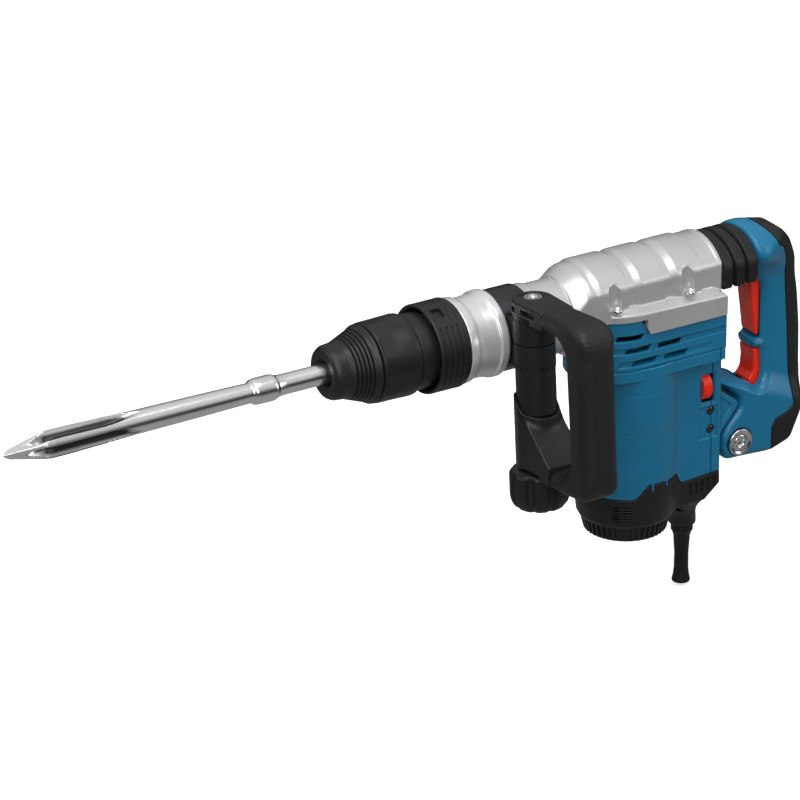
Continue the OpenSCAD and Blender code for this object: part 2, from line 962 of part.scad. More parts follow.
module handle_voids() {
  // room for the tongue of the rear cover, with play for the pivot's swing
  translate([pivot_x, 0, pivot_z])
    bar_y(21.2, 16);
  side_plate([
    [nose_x + 390, -130], [nose_x + 405, -130], [pivot_x + 13, pivot_z + 14],
    [pivot_x + 2, pivot_z - 17], [nose_x + 390, -176]
  ], 21.2);
  translate([pivot_x, 0, pivot_z])
    bar_y(heel_w - 8, 6.02);
  for (s = [-1, 1])
    translate([pivot_x, s * (heel_w / 2 - 1), pivot_z])
      bar_y(4.2, 12.8);
  // slot for the trigger, the lock button and the switch behind them
  box(nose_x + 428, nose_x + 452, -9.4, 9.4, -66, -6);
  box(nose_x + 428, nose_x + 452, -9.4, 9.4, -113, -69.5);
  box(nose_x + 444, nose_x + 462, -11, 11, -100, -14);
  // room for the back overmould
  side_plate(overmould_profile(0), 120);
}

// back overmould: side profile of everything behind the line where it meets the shells
function overmould_profile(grow) = [
  [nose_x + 441 - grow, 60], [nose_x + 447 - grow, 34], [nose_x + 455 - grow, 20],
  [nose_x + 461 - grow, 20.5], [nose_x + 468 - grow, 4], [nose_x + 473.5 - grow, -112],
  [nose_x + 477 - grow, -128], [nose_x + 451 - grow, -146], [nose_x + 451.5 - grow, -190],
  [nose_x + 520, -190], [nose_x + 520, 60]
];

module handle_shell(side) {
  color(blue)
    intersection() {
      difference() {
        handle_solid();
        handle_voids();
      }
      translate([nose_x + 370, side < 0 ? -80 : 0.05, -200])
        cube([160, 79.95, 280]);
    }
}

module handle_left_shell() {
  handle_shell(-1);
}

module handle_right_shell() {
  handle_shell(1);
}

module handle_overmould() {
  color(charcoal)
    intersection() {
      union() {
        difference() {
          handle_solid();
          box(nose_x + 444, nose_x + 462, -11, 11, -100, -14);
        }
        hull() {
          for (p = [[466, 18, 12], [476, 6, 12], [477.5, -60, 12], [475, -136, 12],
                    [464, -160, 11]], s = [-1, 1])
            translate([nose_x + p[0], s * 7, p[1]])
              sphere(r = p[2], $fn = hull_fn);
        }
      }
      side_plate(overmould_profile(-0.2), 120);
    }
}

module pivot_pin() {
  color(steel)
    translate([pivot_x, 0, pivot_z])
      bar_y(heel_w - 8.4, 6);
}

module pivot_bushes() {
  color(brass)
    translate([pivot_x, 0, pivot_z])
      difference() {
        bar_y(19.6, 8);
        bar_y(30, 6.06);
      }
}

module pivot_discs() {
  color(steel)
    for (s = [-1, 1])
      translate([pivot_x, s * (heel_w / 2 + 0.2), pivot_z])
        rotate([s < 0 ? 90 : -90, 0, 0])
          translate([0, 0, -3])
            difference() {
              rotate_extrude()
                polygon([[0, 0], [12.6, 0], [12.6, 3.6], [11.2, 4.8], [6.6, 3.2], [0, 3.2]]);
              translate([0, 0, 1.6])
                cylinder(h = 5, r = 2.6, $fn = 6);
            }
}

module switch_block() {
  color(black)
    box(nose_x + 450.5, nose_x + 461, -10, 10, -98, -20);
}

module trigger() {
  color(red)
    side_plate([
      [nose_x + 432.5, -9.5], [nose_x + 448, -8.5], [nose_x + 448, -14],
      [nose_x + 443.5, -20], [nose_x + 443.5, -61], [nose_x + 441.5, -62.5],
      [nose_x + 436.5, -42], [nose_x + 433, -22]
    ], 18);
}

module lock_button() {
  color(red)
    side_plate([
      [nose_x + 442.5, -71], [nose_x + 447, -71], [nose_x + 447, -108],
      [nose_x + 443, -110.5], [nose_x + 437, -106], [nose_x + 435, -101.5],
      [nose_x + 440, -96]
    ], 18);
}

// ---- side handle ----

module clamp_band() {
  color(black)
    at_band()
      difference() {
        tube_x(band_x0, band_x1, neck_r + 3.2, neck_r + gap);
        box(band_x0 - 1, band_x1 + 1, -60, -20, split_z - 0.7, split_z + 0.7);
      }
}

module clamp_block(z0, z1) {
  difference() {
    union() {
      at_rod()
        bar_z(z0, z1, 18);
      at_band()
        box(band_x0, band_x1, -rod_out, -24, z0, z1 - 4);
    }
    at_band()
      bar_x(band_x0 - 10, band_x1 + 10, neck_r + 3.4);
    at_rod()
      bar_z(z0 - 1, z1 + 1, rod_r + gap);
  }
}

module clamp_upper() {
  color(charcoal)
    difference() {
      clamp_block(split_z + 0.6, tooth_top + 2.4);
      at_rod()
        translate([0, 0, 4 * tooth_top])
          mirror([0, 0, 1])
            translate([0, 0, 3 * tooth_top - 2.5])
              tooth_prisms(0, 4, 2.8);
    }
}

module upper_tooth_ring() {
  color(charcoal)
    at_rod()
      difference() {
        union() {
          bar_z(tooth_top + 2.5, 30, 17.4);
          intersection() {
            translate([0, 0, 4 * tooth_top])
              mirror([0, 0, 1])
                translate([0, 0, 3 * tooth_top - 2.6])
                  tooth_prisms(0, 3.8, 2.6);
            bar_z(0, 30, 17.4);
          }
        }
        bar_z(0, 40, rod_r + gap);
      }
}

module clamp_lower() {
  color(charcoal)
    difference() {
      clamp_block(tooth_low - 2.4, split_z - 0.6);
      at_rod()
        translate([0, 0, tooth_low - 2.5])
          tooth_prisms(0, 4, 2.8);
    }
}

module detent_sleeve() {
  color(charcoal)
    at_rod()
      difference() {
        union() {
          bar_z(-59, tooth_low - 2.5, 17.4);
          intersection() {
            translate([0, 0, tooth_low - 2.6])
              tooth_prisms(0, 3.8, 2.6);
            bar_z(-40, 0, 17.4);
          }
        }
        bar_z(-70, 0, rod_r + gap);
      }
}

module side_handle_frame() {
  color(charcoal)
    at_rod()
      difference() {
        union() {
          bar_z(30.4, side_cap_z, 17.6);
          box(-14, 14, -arm_end, 0, 30.4, 43);
          // lower hub that cups the detent sleeve, and its arm
          bar_z(hub_z0, -48, 19.6);
          box(-18, 18, -arm_end, 0, hub_z0, hub_z0 + 12);
        }
        bar_z(side_cap_z - 4.2, side_cap_z + 1, 8.4);
        bar_z(30, side_cap_z, rod_r + 0.04);
        bar_z(-59.3, -40, 17.8);
        bar_z(hub_z0 - 1, -50, rod_r + 0.04);
        // the cup is cut away towards the outside
        translate([0, -12, -30])
          rotate([0, 90, 0])
            cylinder(h = 50, r = 24, center = true);
      }
}

// one station of the soft grip: two balls side by side
module grip_station(p) {
  for (s = [-1, 1])
    translate([s * p[3], p[0], p[1]])
      sphere(r = p[2], $fn = hull_fn);
}

module side_handle_grip() {
  r = side_grip_d / 2;
  // y and z of the middle, radius, half the spacing of the two balls
  path = [
    [-arm_end - 4, 35, 8, 7], [-reach + 20, 33.5, 9.5, 6], [-reach, 25, r, 0.2],
    [-reach, -90, r, 0.2], [-reach + 22, -99.5, 9.5, 8],
    [-arm_end - 4, hub_z0 + 6.4, 6.4, 12]
  ];
  color([0.3, 0.3, 0.32])
    at_rod()
      difference() {
        union() {
          for (i = [0 : len(path) - 2])
            hull() {
              grip_station(path[i]);
              grip_station(path[i + 1]);
            }
        }
        box(-40, 40, -arm_end - 0.2, 20, -130, 60);
      }
}

module tie_rod() {
  color(steel)
    at_rod()
      difference() {
        union() {
          bar_z(-136, side_cap_z - 4, rod_r);
          bar_z(side_cap_z - 4.1, side_cap_z - 0.8, 8.2);
        }
        bar_z(side_cap_z - 2.6, side_cap_z + 2, 4);
      }
}

module thrust_washer() {
  color(steel)
    at_rod()
      tube_z(hub_z0 - 2.1, hub_z0 - 0.3, 14, rod_r + 0.1);
}

module clamping_knob() {
  knob_r = 26;
  flutes = 8;
  knob_h = knob_z1 - knob_z0;
  color(charcoal)
    at_rod()
      translate([0, 0, knob_z0])
        difference() {
          rotate_extrude()
            polygon([
              [0, 0], [15, 0.2], [19.5, 1.4], [23, 3.6], [25.2, 6.8], [knob_r, 10.5],
              [knob_r, knob_h - 5], [knob_r - 2.5, knob_h - 1.5], [knob_r - 6, knob_h],
              [0, knob_h]
            ]);
          for (i = [0 : flutes - 1])
            rotate([0, 0, i * 360 / flutes + 10])
              translate([knob_r + 2.6, 0, -1])
                cylinder(h = knob_h - 5, r = 6);
          bar_z(6, knob_h + 1, rod_r + gap);
          translate([0, 0, nut_z - knob_z0 - 0.1])
            cylinder(h = 9, r = 9.05, $fn = 6);
        }
}

module knob_nut() {
  color(steel)
    at_rod()
      difference() {
        translate([0, 0, nut_z])
          cylinder(h = 8.8, r = 9, $fn = 6);
        bar_z(knob_z0, knob_z1, rod_r + gap);
      }
}

chisel();
dust_cap();
tool_holder();
locking_pins();
locking_sleeve();
sleeve_spring();
position_ring();
front_collar();
impact_bolt();
gear_housing();
hammer_tube();
striker();
piston();
connecting_rod();
crank_gear();
crank_bearing();
armature_shaft();
armature_core();
cooling_fan();
armature_bearings();
stator();
brush_holders();
carbon_brushes();
vent_housing();
motor_housing();
rear_cover();
motor_end_cap();
intake_ring();
housing_screws();
electronics_module();
speed_wheel();
indicator_lenses();
cord_gland();
cord_clamp();
strain_relief();
bellows();
handle_spring();
handle_left_shell();
handle_right_shell();
handle_overmould();
pivot_pin();
pivot_bushes();
pivot_discs();
switch_block();
trigger();
lock_button();
clamp_band();
clamp_upper();
clamp_lower();
upper_tooth_ring();
detent_sleeve();
side_handle_frame();
side_handle_grip();
tie_rod();
thrust_washer();
clamping_knob();
knob_nut();
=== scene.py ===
import json
import math

import bmesh
import bpy
import numpy as np
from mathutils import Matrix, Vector


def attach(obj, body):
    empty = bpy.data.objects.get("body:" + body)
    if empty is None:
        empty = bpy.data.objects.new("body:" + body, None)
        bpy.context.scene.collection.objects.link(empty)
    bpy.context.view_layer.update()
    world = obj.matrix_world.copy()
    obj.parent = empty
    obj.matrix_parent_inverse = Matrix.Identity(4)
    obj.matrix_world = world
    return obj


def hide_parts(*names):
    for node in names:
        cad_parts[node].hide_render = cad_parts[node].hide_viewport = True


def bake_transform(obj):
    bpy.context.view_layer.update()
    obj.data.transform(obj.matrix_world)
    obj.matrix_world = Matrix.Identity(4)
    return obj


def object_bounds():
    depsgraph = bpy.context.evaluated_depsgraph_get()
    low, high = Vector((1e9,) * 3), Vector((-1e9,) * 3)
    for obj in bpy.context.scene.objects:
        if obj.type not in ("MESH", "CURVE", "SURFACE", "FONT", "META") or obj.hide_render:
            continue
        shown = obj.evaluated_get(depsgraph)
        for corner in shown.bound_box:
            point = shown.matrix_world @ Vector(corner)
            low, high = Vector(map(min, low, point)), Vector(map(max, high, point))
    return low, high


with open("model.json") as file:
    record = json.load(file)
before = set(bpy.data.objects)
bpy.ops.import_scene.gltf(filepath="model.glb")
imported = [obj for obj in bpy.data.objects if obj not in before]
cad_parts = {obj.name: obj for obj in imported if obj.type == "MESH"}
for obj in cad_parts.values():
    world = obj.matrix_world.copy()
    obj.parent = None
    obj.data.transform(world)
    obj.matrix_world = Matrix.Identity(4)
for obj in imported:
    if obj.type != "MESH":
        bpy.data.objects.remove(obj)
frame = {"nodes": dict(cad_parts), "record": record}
cad_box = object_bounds()
scene = bpy.context.scene
MM = 0.001

# ---------------------------------------------------------------- camera
# It looks slightly down on the tool from the front left, as the photograph does.
LOOK_AT = Vector((0.3516, -0.0534, -0.0140))
CAMERA_AT = Vector((-2.4226, -4.4441, 2.3355))
camera_data = bpy.data.cameras.new("camera")
camera_data.lens = 305.0
camera_data.sensor_width = 36.0
camera_data.clip_start = 0.1
camera_data.clip_end = 60
camera = bpy.data.objects.new("camera", camera_data)
scene.collection.objects.link(camera)
camera.location = CAMERA_AT
camera.rotation_mode = "QUATERNION"
camera.rotation_quaternion = (LOOK_AT - CAMERA_AT).to_track_quat("-Z", "Y")
scene.camera = camera


# ---------------------------------------------------------------- materials
class Nodes:
    """Short ways to add nodes to one material."""

    def __init__(self, name):
        self.mat = bpy.data.materials.new(name)
        self.mat.use_nodes = True
        self.tree = self.mat.node_tree
        self.bsdf = self.tree.nodes["Principled BSDF"]
        coord = self.tree.nodes.new("ShaderNodeTexCoord")
        self.where = coord.outputs["Object"]

    def add(self, kind, **inputs):
        node = self.tree.nodes.new(kind)
        for key, value in inputs.items():
            self.put(node, key, value)
        return node

    def put(self, node, key, value):
        socket = node.inputs[int(key[1:]) if key[0] == "i" and key[1:].isdigit() else key.replace("_", " ")]
        if isinstance(value, bpy.types.NodeSocket):
            self.tree.links.new(value, socket)
        else:
            socket.default_value = value

    def noise(self, scale, detail=3.0, rough=0.5, stretch=None):
        vector = self.where
        if stretch:
            mapping = self.add("ShaderNodeMapping", Vector=vector)
            mapping.inputs["Scale"].default_value = stretch
            vector = mapping.outputs[0]
        node = self.add("ShaderNodeTexNoise", Vector=vector, Scale=scale, Detail=detail, Roughness=rough)
        return node.outputs["Fac"]

    def cells(self, scale):
        node = self.add("ShaderNodeTexVoronoi", Vector=self.where, Scale=scale)
        return node.outputs["Distance"]

    def remap(self, value, low, high, from_low=0.3, from_high=0.7):
        node = self.add("ShaderNodeMapRange", Value=value)
        node.inputs["From Min"].default_value = from_low
        node.inputs["From Max"].default_value = from_high
        node.inputs["To Min"].default_value = low
        node.inputs["To Max"].default_value = high
        return node.outputs[0]

    def times(self, a, b):
        node = self.add("ShaderNodeMath", i0=a, i1=b)
        node.operation = "MULTIPLY"
        return node.outputs[0]

    def ramp(self, value, stops):
        node = self.add("ShaderNodeValToRGB", Fac=value)
        ends = node.color_ramp.elements
        for element, (at, colour) in zip(ends, (stops[0], stops[-1])):
            element.position = at
            element.color = (*colour, 1)
        for at, colour in stops[1:-1]:
            element = ends.new(at)
            element.color = (*colour, 1)
        return node.outputs[0]

    def bump(self, height, strength, distance, normal=None):
        node = self.add("ShaderNodeBump", Height=height, Strength=strength, Distance=distance)
        if normal is not None:
            self.put(node, "Normal", normal)
        return node.outputs[0]

    def out(self, **inputs):
        for key, value in inputs.items():
            self.put(self.bsdf, key, value)
        return self.mat


def shade(colour, factor):
    return tuple(min(1.0, c * factor) for c in colour)


def moulded(name, colour, rough, grain=1600, depth=0.00012, strength=0.35, coat=0.0, spread=0.12):
    """Moulded plastic: a fine spark-eroded grain, faint flow clouds and handling marks."""
    n = Nodes(name)
    clouds = n.noise(22, 4, 0.6)
    base = n.ramp(clouds, [(0.3, shade(colour, 1 - spread)), (0.55, colour),
                           (0.75, shade(colour, 1 + spread))])
    smudge = n.noise(60, 5, 0.65)
    grain_height = n.cells(grain)
    normal = n.bump(grain_height, strength, depth)
    normal = n.bump(n.noise(240, 3), 0.12, 0.0002, normal)
    return n.out(
        Base_Color=base, Roughness=n.remap(smudge, rough - 0.06, rough + 0.08), Normal=normal,
        Coat_Weight=coat, Coat_Roughness=0.25, IOR=1.5, Specular_IOR_Level=0.38,
    )


def metal(name, colour, rough, stretch=(1, 1, 1), streak=900, depth=0.00003, tint=0.1, patch=0.06):
    """Bare metal with directional tool marks and slightly dulled patches."""
    n = Nodes(name)
    lines = n.noise(streak, 4, 0.6, stretch)
    patches = n.noise(35, 4, 0.55)
    base = n.ramp(patches, [(0.3, shade(colour, 1 - tint)), (0.7, shade(colour, 1 + tint * 0.5))])
    normal = n.bump(lines, 0.35, depth)
    return n.out(
        Base_Color=base, Metallic=1.0, Roughness=n.remap(patches, rough - patch / 2, rough + patch),
        Normal=normal,
    )


def steel_with_painted_flute_shade(name, colour, rough):
    """Ground tool steel whose flutes at the point are darkened with painted shade; faint patches vary its
    tone.
    """
    n = Nodes(name)
    lines = n.noise(1300, 4, 0.6, (0.03, 1, 1))
    patches = n.noise(35, 4, 0.55)
    split = n.add("ShaderNodeSeparateXYZ", Vector=n.where)
    across = n.add("ShaderNodeCombineXYZ", Y=split.outputs["Y"], Z=split.outputs["Z"])
    reach = n.add("ShaderNodeVectorMath", i0=across.outputs[0])
    reach.operation = "LENGTH"
    # scale here is painted shade, not forging scale: near 1 where the surface lies within 7 to 10 mm of the
    # axis, in the flutes, from 30 to 134 mm behind the tip
    scale = n.times(n.remap(reach.outputs["Value"], 1, 0, 0.0072, 0.0098),
                    n.remap(split.outputs["X"], 1, 0, 0.112, 0.134))
    scale = n.times(scale, n.remap(split.outputs["X"], 0, 1, 0.030, 0.040))
    flute_shade_and_patches = n.add("ShaderNodeMath", i0=n.times(scale, 0.8), i1=n.times(patches, 0.2)).outputs[0]
    # the base colour turns nearly black where the painted flute shade is strong; the patches add random tone
    base = n.ramp(flute_shade_and_patches, [(0.06, shade(colour, 1.03)), (0.16, shade(colour, 0.94)),
                          (0.75, shade(colour, 0.07))])
    return n.out(
        Base_Color=base, Metallic=1.0, Roughness=n.remap(flute_shade_and_patches, rough, rough + 0.18, 0.06, 0.9),
        Normal=n.bump(lines, 0.3, 0.00002),
    )


def lacquer(name, colour, rough, metallic):
    """Silver lacquer on a die casting: fine metallic flake under a satin coat, faint orange peel."""
    n = Nodes(name)
    flake = n.cells(2600)
    clouds = n.noise(16, 4, 0.55)
    base = n.ramp(clouds, [(0.3, shade(colour, 0.93)), (0.7, shade(colour, 1.05))])
    normal = n.bump(n.noise(240, 2), 0.1, 0.00004)
    normal = n.bump(flake, 0.05, 0.00002, normal)
    return n.out(
        Base_Color=base, Metallic=metallic, Roughness=n.remap(n.noise(90, 4), rough - 0.02, rough + 0.04),
        Normal=normal, Coat_Weight=0.15, Coat_Roughness=0.3,
    )


STEEL = (0.60, 0.60, 0.61)
BLUE = (0.006, 0.160, 0.305)
BLACK = (0.011, 0.011, 0.012)
MATERIALS = {
    # the bit's steel, with painted shade in its flutes
    "tool_steel": steel_with_painted_flute_shade("steel_painted_flute_shade", (0.90, 0.90, 0.905), 0.22),
    "bright_steel": metal("bright_steel", (0.70, 0.70, 0.71), 0.22, (1, 1, 1), 900),
    "dark_steel": metal("dark_steel", (0.07, 0.07, 0.075), 0.36),
    "silver_cast": lacquer("silver_lacquer", (0.60, 0.60, 0.595), 0.36, 0.62),
    "silver_collar": lacquer("turned_collar", (0.76, 0.76, 0.755), 0.30, 0.5),
    "blue_shell": moulded("blue_shell", BLUE, 0.36, 1500, 0.00006, 0.22, 0.12, 0.05),
    "black_shell": moulded("black_shell", BLACK, 0.40, 1300, 0.00012, 0.4, 0.0, 0.15),
    "grey_rubber": moulded("grey_rubber", (0.011, 0.011, 0.012), 0.42, 1100, 0.0001, 0.35, 0.0, 0.15),
    "black_rubber": moulded("black_rubber", (0.007, 0.007, 0.008), 0.45, 1000, 0.0001, 0.3, 0.0, 0.2),
    "soft_grip": moulded("soft_grip", (0.010, 0.010, 0.011), 0.48, 900, 0.0003, 0.6, 0.0, 0.15),
    "red_plastic": moulded("red_plastic", (0.90, 0.028, 0.008), 0.34, 1600, 0.00005, 0.2, 0.15, 0.06),
    "lens": moulded("lens", (0.01, 0.01, 0.012), 0.12, 800, 0.00001, 0.05, 0.6, 0.1),
    "brass": metal("brass", (0.72, 0.52, 0.25), 0.3),
    "bronze": metal("bronze", (0.55, 0.36, 0.18), 0.42),
    "copper_winding": metal("copper_winding", (0.62, 0.27, 0.13), 0.35, (1, 1, 0.1)),
    "lamination": metal("lamination", (0.25, 0.25, 0.26), 0.45, (1, 1, 12)),
    "carbon": moulded("carbon", (0.02, 0.02, 0.02), 0.6),
    "board": moulded("board", (0.02, 0.09, 0.05), 0.45),
}
SLOTS = {row["node"]: row["material_slot"] for row in frame["record"]["subparts"]}
BODY_OF = {}
for body, body_nodes in frame["record"]["behaviour"]["bodies"].items():
    for node in body_nodes:
        BODY_OF[node] = body
for node, obj in frame["nodes"].items():
    obj.data.materials.clear()
    obj.data.materials.append(MATERIALS[SLOTS[node]])


# ---------------------------------------------------------------- pieces
JOINTS = {joint["name"]: joint for joint in frame["record"]["behaviour"]["joints"]}


def joint_place(name):
    """Where a joint's axis passes, in millimetres."""
    return [round(value / MM, 3) for value in JOINTS[name]["pos_m"]]


MOTOR_X = joint_place("armature_spin")[0]
CRANK_X = joint_place("crank_spin")[0]
PIVOT_X, _, PIVOT_Z = joint_place("handle_pivot")
BOX_HALF = 31.0
LAMP_X, LAMP_Z = 687.8, (-114.5, -132.0)
GLAND_X = 680.0
TILT = math.radians(-4.4)
TILT_C, TILT_S = math.cos(TILT), math.sin(TILT)
ROD_X, ROD_Y = 488.5, -51.0


def tilted(points):
    """Points of the side handle's upright frame, turned to where it stands."""
    out = np.array(points, float)
    y, z = out[:, 1].copy(), out[:, 2].copy()
    out[:, 1] = y * TILT_C - z * TILT_S
    out[:, 2] = y * TILT_S + z * TILT_C
    return out


def add_piece(name, verts, faces, slot, body, nodes=(), normals=None, sharp=None, tilt=False):
    """A mesh object in metres from millimetre points. It rides on a body and stands for CAD nodes."""
    verts = np.asarray(verts, float)
    if tilt:
        verts = tilted(verts)
    mesh = bpy.data.meshes.new(name)
    mesh.from_pydata((verts * MM).tolist(), [], [tuple(map(int, f)) for f in faces])
    mesh.validate()
    mesh.update()
    obj = bpy.data.objects.new(name, mesh)
    scene.collection.objects.link(obj)
    mesh.shade_smooth()
    if sharp:
        mesh.set_sharp_from_angle(angle=math.radians(sharp))
    if normals is not None and len(mesh.vertices) == len(verts):
        if tilt:
            normals = tilted(normals)
        mesh.normals_split_custom_set_from_vertices(np.asarray(normals, float).tolist())
    return settle(obj, slot, body, nodes)


def settle(obj, slot, body, nodes=()):
    obj.data.materials.clear()
    obj.data.materials.append(MATERIALS[slot])
    if body:
        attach(obj, body)
    if nodes:
        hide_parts(*nodes)
    return obj


def flatten(obj):
    """Applies the object's modifiers."""
    graph = bpy.context.evaluated_depsgraph_get()
    graph.update()
    obj.data = bpy.data.meshes.new_from_object(obj.evaluated_get(graph))
    obj.modifiers.clear()
    return obj


def dressed(node, width=0.5, angle=32, segments=2):
    """The CAD node's own shape with its facets joined and its edges rounded."""
    bm = bmesh.new()
    bm.from_mesh(frame["nodes"][node].data)
    bmesh.ops.remove_doubles(bm, verts=bm.verts, dist=2e-6)
    bmesh.ops.dissolve_limit(bm, angle_limit=math.radians(0.8), verts=bm.verts, edges=bm.edges)
    bmesh.ops.recalc_face_normals(bm, faces=bm.faces)
    mesh = bpy.data.meshes.new(node + "_piece")
    bm.to_mesh(mesh)
    bm.free()
    obj = bpy.data.objects.new(node + "_piece", mesh)
    scene.collection.objects.link(obj)
    mesh.shade_smooth()
    bevel = obj.modifiers.new("edges", "BEVEL")
    bevel.width = width * MM
    bevel.segments = segments
    bevel.limit_method = "ANGLE"
    bevel.angle_limit = math.radians(angle)
    bevel.harden_normals = False
    flatten(obj)
    obj.data.shade_smooth()
    obj.data.set_sharp_from_angle(angle=math.radians(38))
    weighted = obj.modifiers.new("normals", "WEIGHTED_NORMAL")
    weighted.keep_sharp = True
    flatten(obj)
    return settle(obj, SLOTS[node], BODY_OF[node], [node])


def softened(points, radius, steps=3):
    """An open run of [x, r] points with each inner corner rounded."""
    points = [np.array(p, float) for p in points]
    out = [points[0]]
    for a, b, c in zip(points, points[1:], points[2:]):
        back, ahead = a - b, c - b
        reach = min(radius, np.linalg.norm(back) * 0.45, np.linalg.norm(ahead) * 0.45)
        start = b + back / np.linalg.norm(back) * reach
        end = b + ahead / np.linalg.norm(ahead) * reach
        for i in range(steps + 1):
            t = i / steps
            out.append((1 - t) ** 2 * start + 2 * t * (1 - t) * b + t * t * end)
    out.append(points[-1])
    return out


def lattice(rows, count, closed=False):
    """Quads between rows of count points that run round a piece."""
    faces = []
    for i in range(rows if closed else rows - 1):
        here, there = i * count, (i + 1) % rows * count
        for k in range(count):
            after = (k + 1) % count
            faces.append((here + k, here + after, there + after, there + k))
    return faces


def fans(rows, count):
    """Triangles that close both ends of a lattice, to the two points that follow its own."""
    last = (rows - 1) * count
    first_fan = [(rows * count, (k + 1) % count, k) for k in range(count)]
    last_fan = [(rows * count + 1, last + k, last + (k + 1) % count) for k in range(count)]
    return first_fan + last_fan


def turned(name, points, slot, body, nodes=(), segments=128, change=None, soft=0.6, axis="x", at=(0, 0),
           tilt=False, closed=True, steps=3, sharp=50):
    """A body of revolution from [along, radius] points. A change function may alter its radius."""
    ring = softened(points + ([points[0]] if closed else []), soft, steps)
    if closed:
        ring = ring[:-1]
    along = np.array([p[0] for p in ring])
    radius = np.array([p[1] for p in ring])
    angle = np.arange(segments) * 2 * math.pi / segments
    length, turn = np.meshgrid(along, angle, indexing="ij")
    reach = np.repeat(radius[:, None], segments, axis=1)
    if change:
        reach = change(length, turn, reach)
    u, v = reach * np.cos(turn), reach * np.sin(turn)
    u, v = u + at[0], v + at[1]
    places = {"x": (length, u, v), "y": (u, length, v), "z": (u, v, length)}
    verts = np.stack(places[axis], -1).reshape(-1, 3)
    obj = add_piece(name, verts, lattice(len(ring), segments, closed), slot, body, nodes, sharp=sharp,
                    tilt=tilt)
    fix_normals(obj)
    return obj


def fix_normals(obj):
    """Joins points that lie on each other and turns every face outwards."""
    bm = bmesh.new()
    bm.from_mesh(obj.data)
    bmesh.ops.remove_doubles(bm, verts=bm.verts, dist=1e-7)
    bmesh.ops.recalc_face_normals(bm, faces=bm.faces)
    bm.to_mesh(obj.data)
    bm.free()


# ---- solids from distance fields, in millimetres ----

def length2(a, b):
    return np.sqrt(a * a + b * b)


def meet(a, b):
    """Distance outside two fields at once, exact at the corner between them."""
    return np.minimum(np.maximum(a, b), 0) + length2(np.maximum(a, 0), np.maximum(b, 0))


def smin(a, b, k):
    """The union of two fields, with a fillet about k wide."""
    h = np.maximum(k - np.abs(a - b), 0) / k
    return np.minimum(a, b) - h * h * k / 4


def smax(a, b, k):
    """What two fields share, with a rounded edge about k wide."""
    return -smin(-a, -b, k)


def between(value, low, high):
    """Distance outside a slab, negative inside it."""
    return np.maximum(low - value, value - high)


def rect(u, u0, u1, v, v0, v1):
    """A rectangle's field: negative between u0 and u1 and between v0 and v1."""
    return np.maximum(between(u, u0, u1), between(v, v0, v1))


def step(value, low, high):
    """Rises smoothly from 0 to 1 between low and high."""
    t = np.clip((value - low) / (high - low), 0, 1)
    return t * t * (3 - 2 * t)


def block(x, y, z, x0, x1, y0, y1, z0, z1, r=0.0):
    """A box with edges rounded to r."""
    qx, qy, qz = between(x, x0, x1) + r, between(y, y0, y1) + r, between(z, z0, z1) + r
    outside = np.sqrt(np.maximum(qx, 0) ** 2 + np.maximum(qy, 0) ** 2 + np.maximum(qz, 0) ** 2)
    return outside + np.minimum(np.maximum(np.maximum(qx, qy), qz), 0) - r


def outline(u, v, points):
    """Signed distance from a closed outline, negative inside."""
    n = len(points)
    best = None
    inside = None
    for i in range(n):
        ax, ay = points[i]
        bx, by = points[(i + 1) % n]
        ex, ey = bx - ax, by - ay
        wx, wy = u - ax, v - ay
        t = np.clip((wx * ex + wy * ey) / (ex * ex + ey * ey), 0, 1)
        d = (wx - ex * t) ** 2 + (wy - ey * t) ** 2
        best = d if best is None else np.minimum(best, d)
        crossing = ((ay <= v) != (by <= v)) & (u < ex * (v - ay) / (by - ay + 1e-12) + ax)
        inside = crossing if inside is None else inside ^ crossing
    return np.where(inside, -1.0, 1.0) * np.sqrt(best)


def rounded_outline(points, radius, steps=4):
    """A closed outline with every corner rounded."""
    n = len(points)
    out = []
    for i in range(n):
        a, b, c = (np.array(points[j % n], float) for j in (i - 1, i, i + 1))
        back, ahead = a - b, c - b
        reach = min(radius, np.linalg.norm(back) * 0.48, np.linalg.norm(ahead) * 0.48)
        start = b + back / np.linalg.norm(back) * reach
        end = b + ahead / np.linalg.norm(ahead) * reach
        for k in range(steps + 1):
            t = k / steps
            p = (1 - t) ** 2 * start + 2 * t * (1 - t) * b + t * t * end
            out.append((float(p[0]), float(p[1])))
    return out


EDGES = [((0, 0, 0), (1, 0, 0)), ((0, 0, 0), (0, 1, 0)), ((0, 0, 0), (0, 0, 1)),
         ((1, 0, 0), (1, 1, 0)), ((1, 0, 0), (1, 0, 1)), ((0, 1, 0), (1, 1, 0)),
         ((0, 1, 0), (0, 1, 1)), ((0, 0, 1), (1, 0, 1)), ((0, 0, 1), (0, 1, 1)),
         ((1, 1, 0), (1, 1, 1)), ((1, 0, 1), (1, 1, 1)), ((0, 1, 1), (1, 1, 1))]


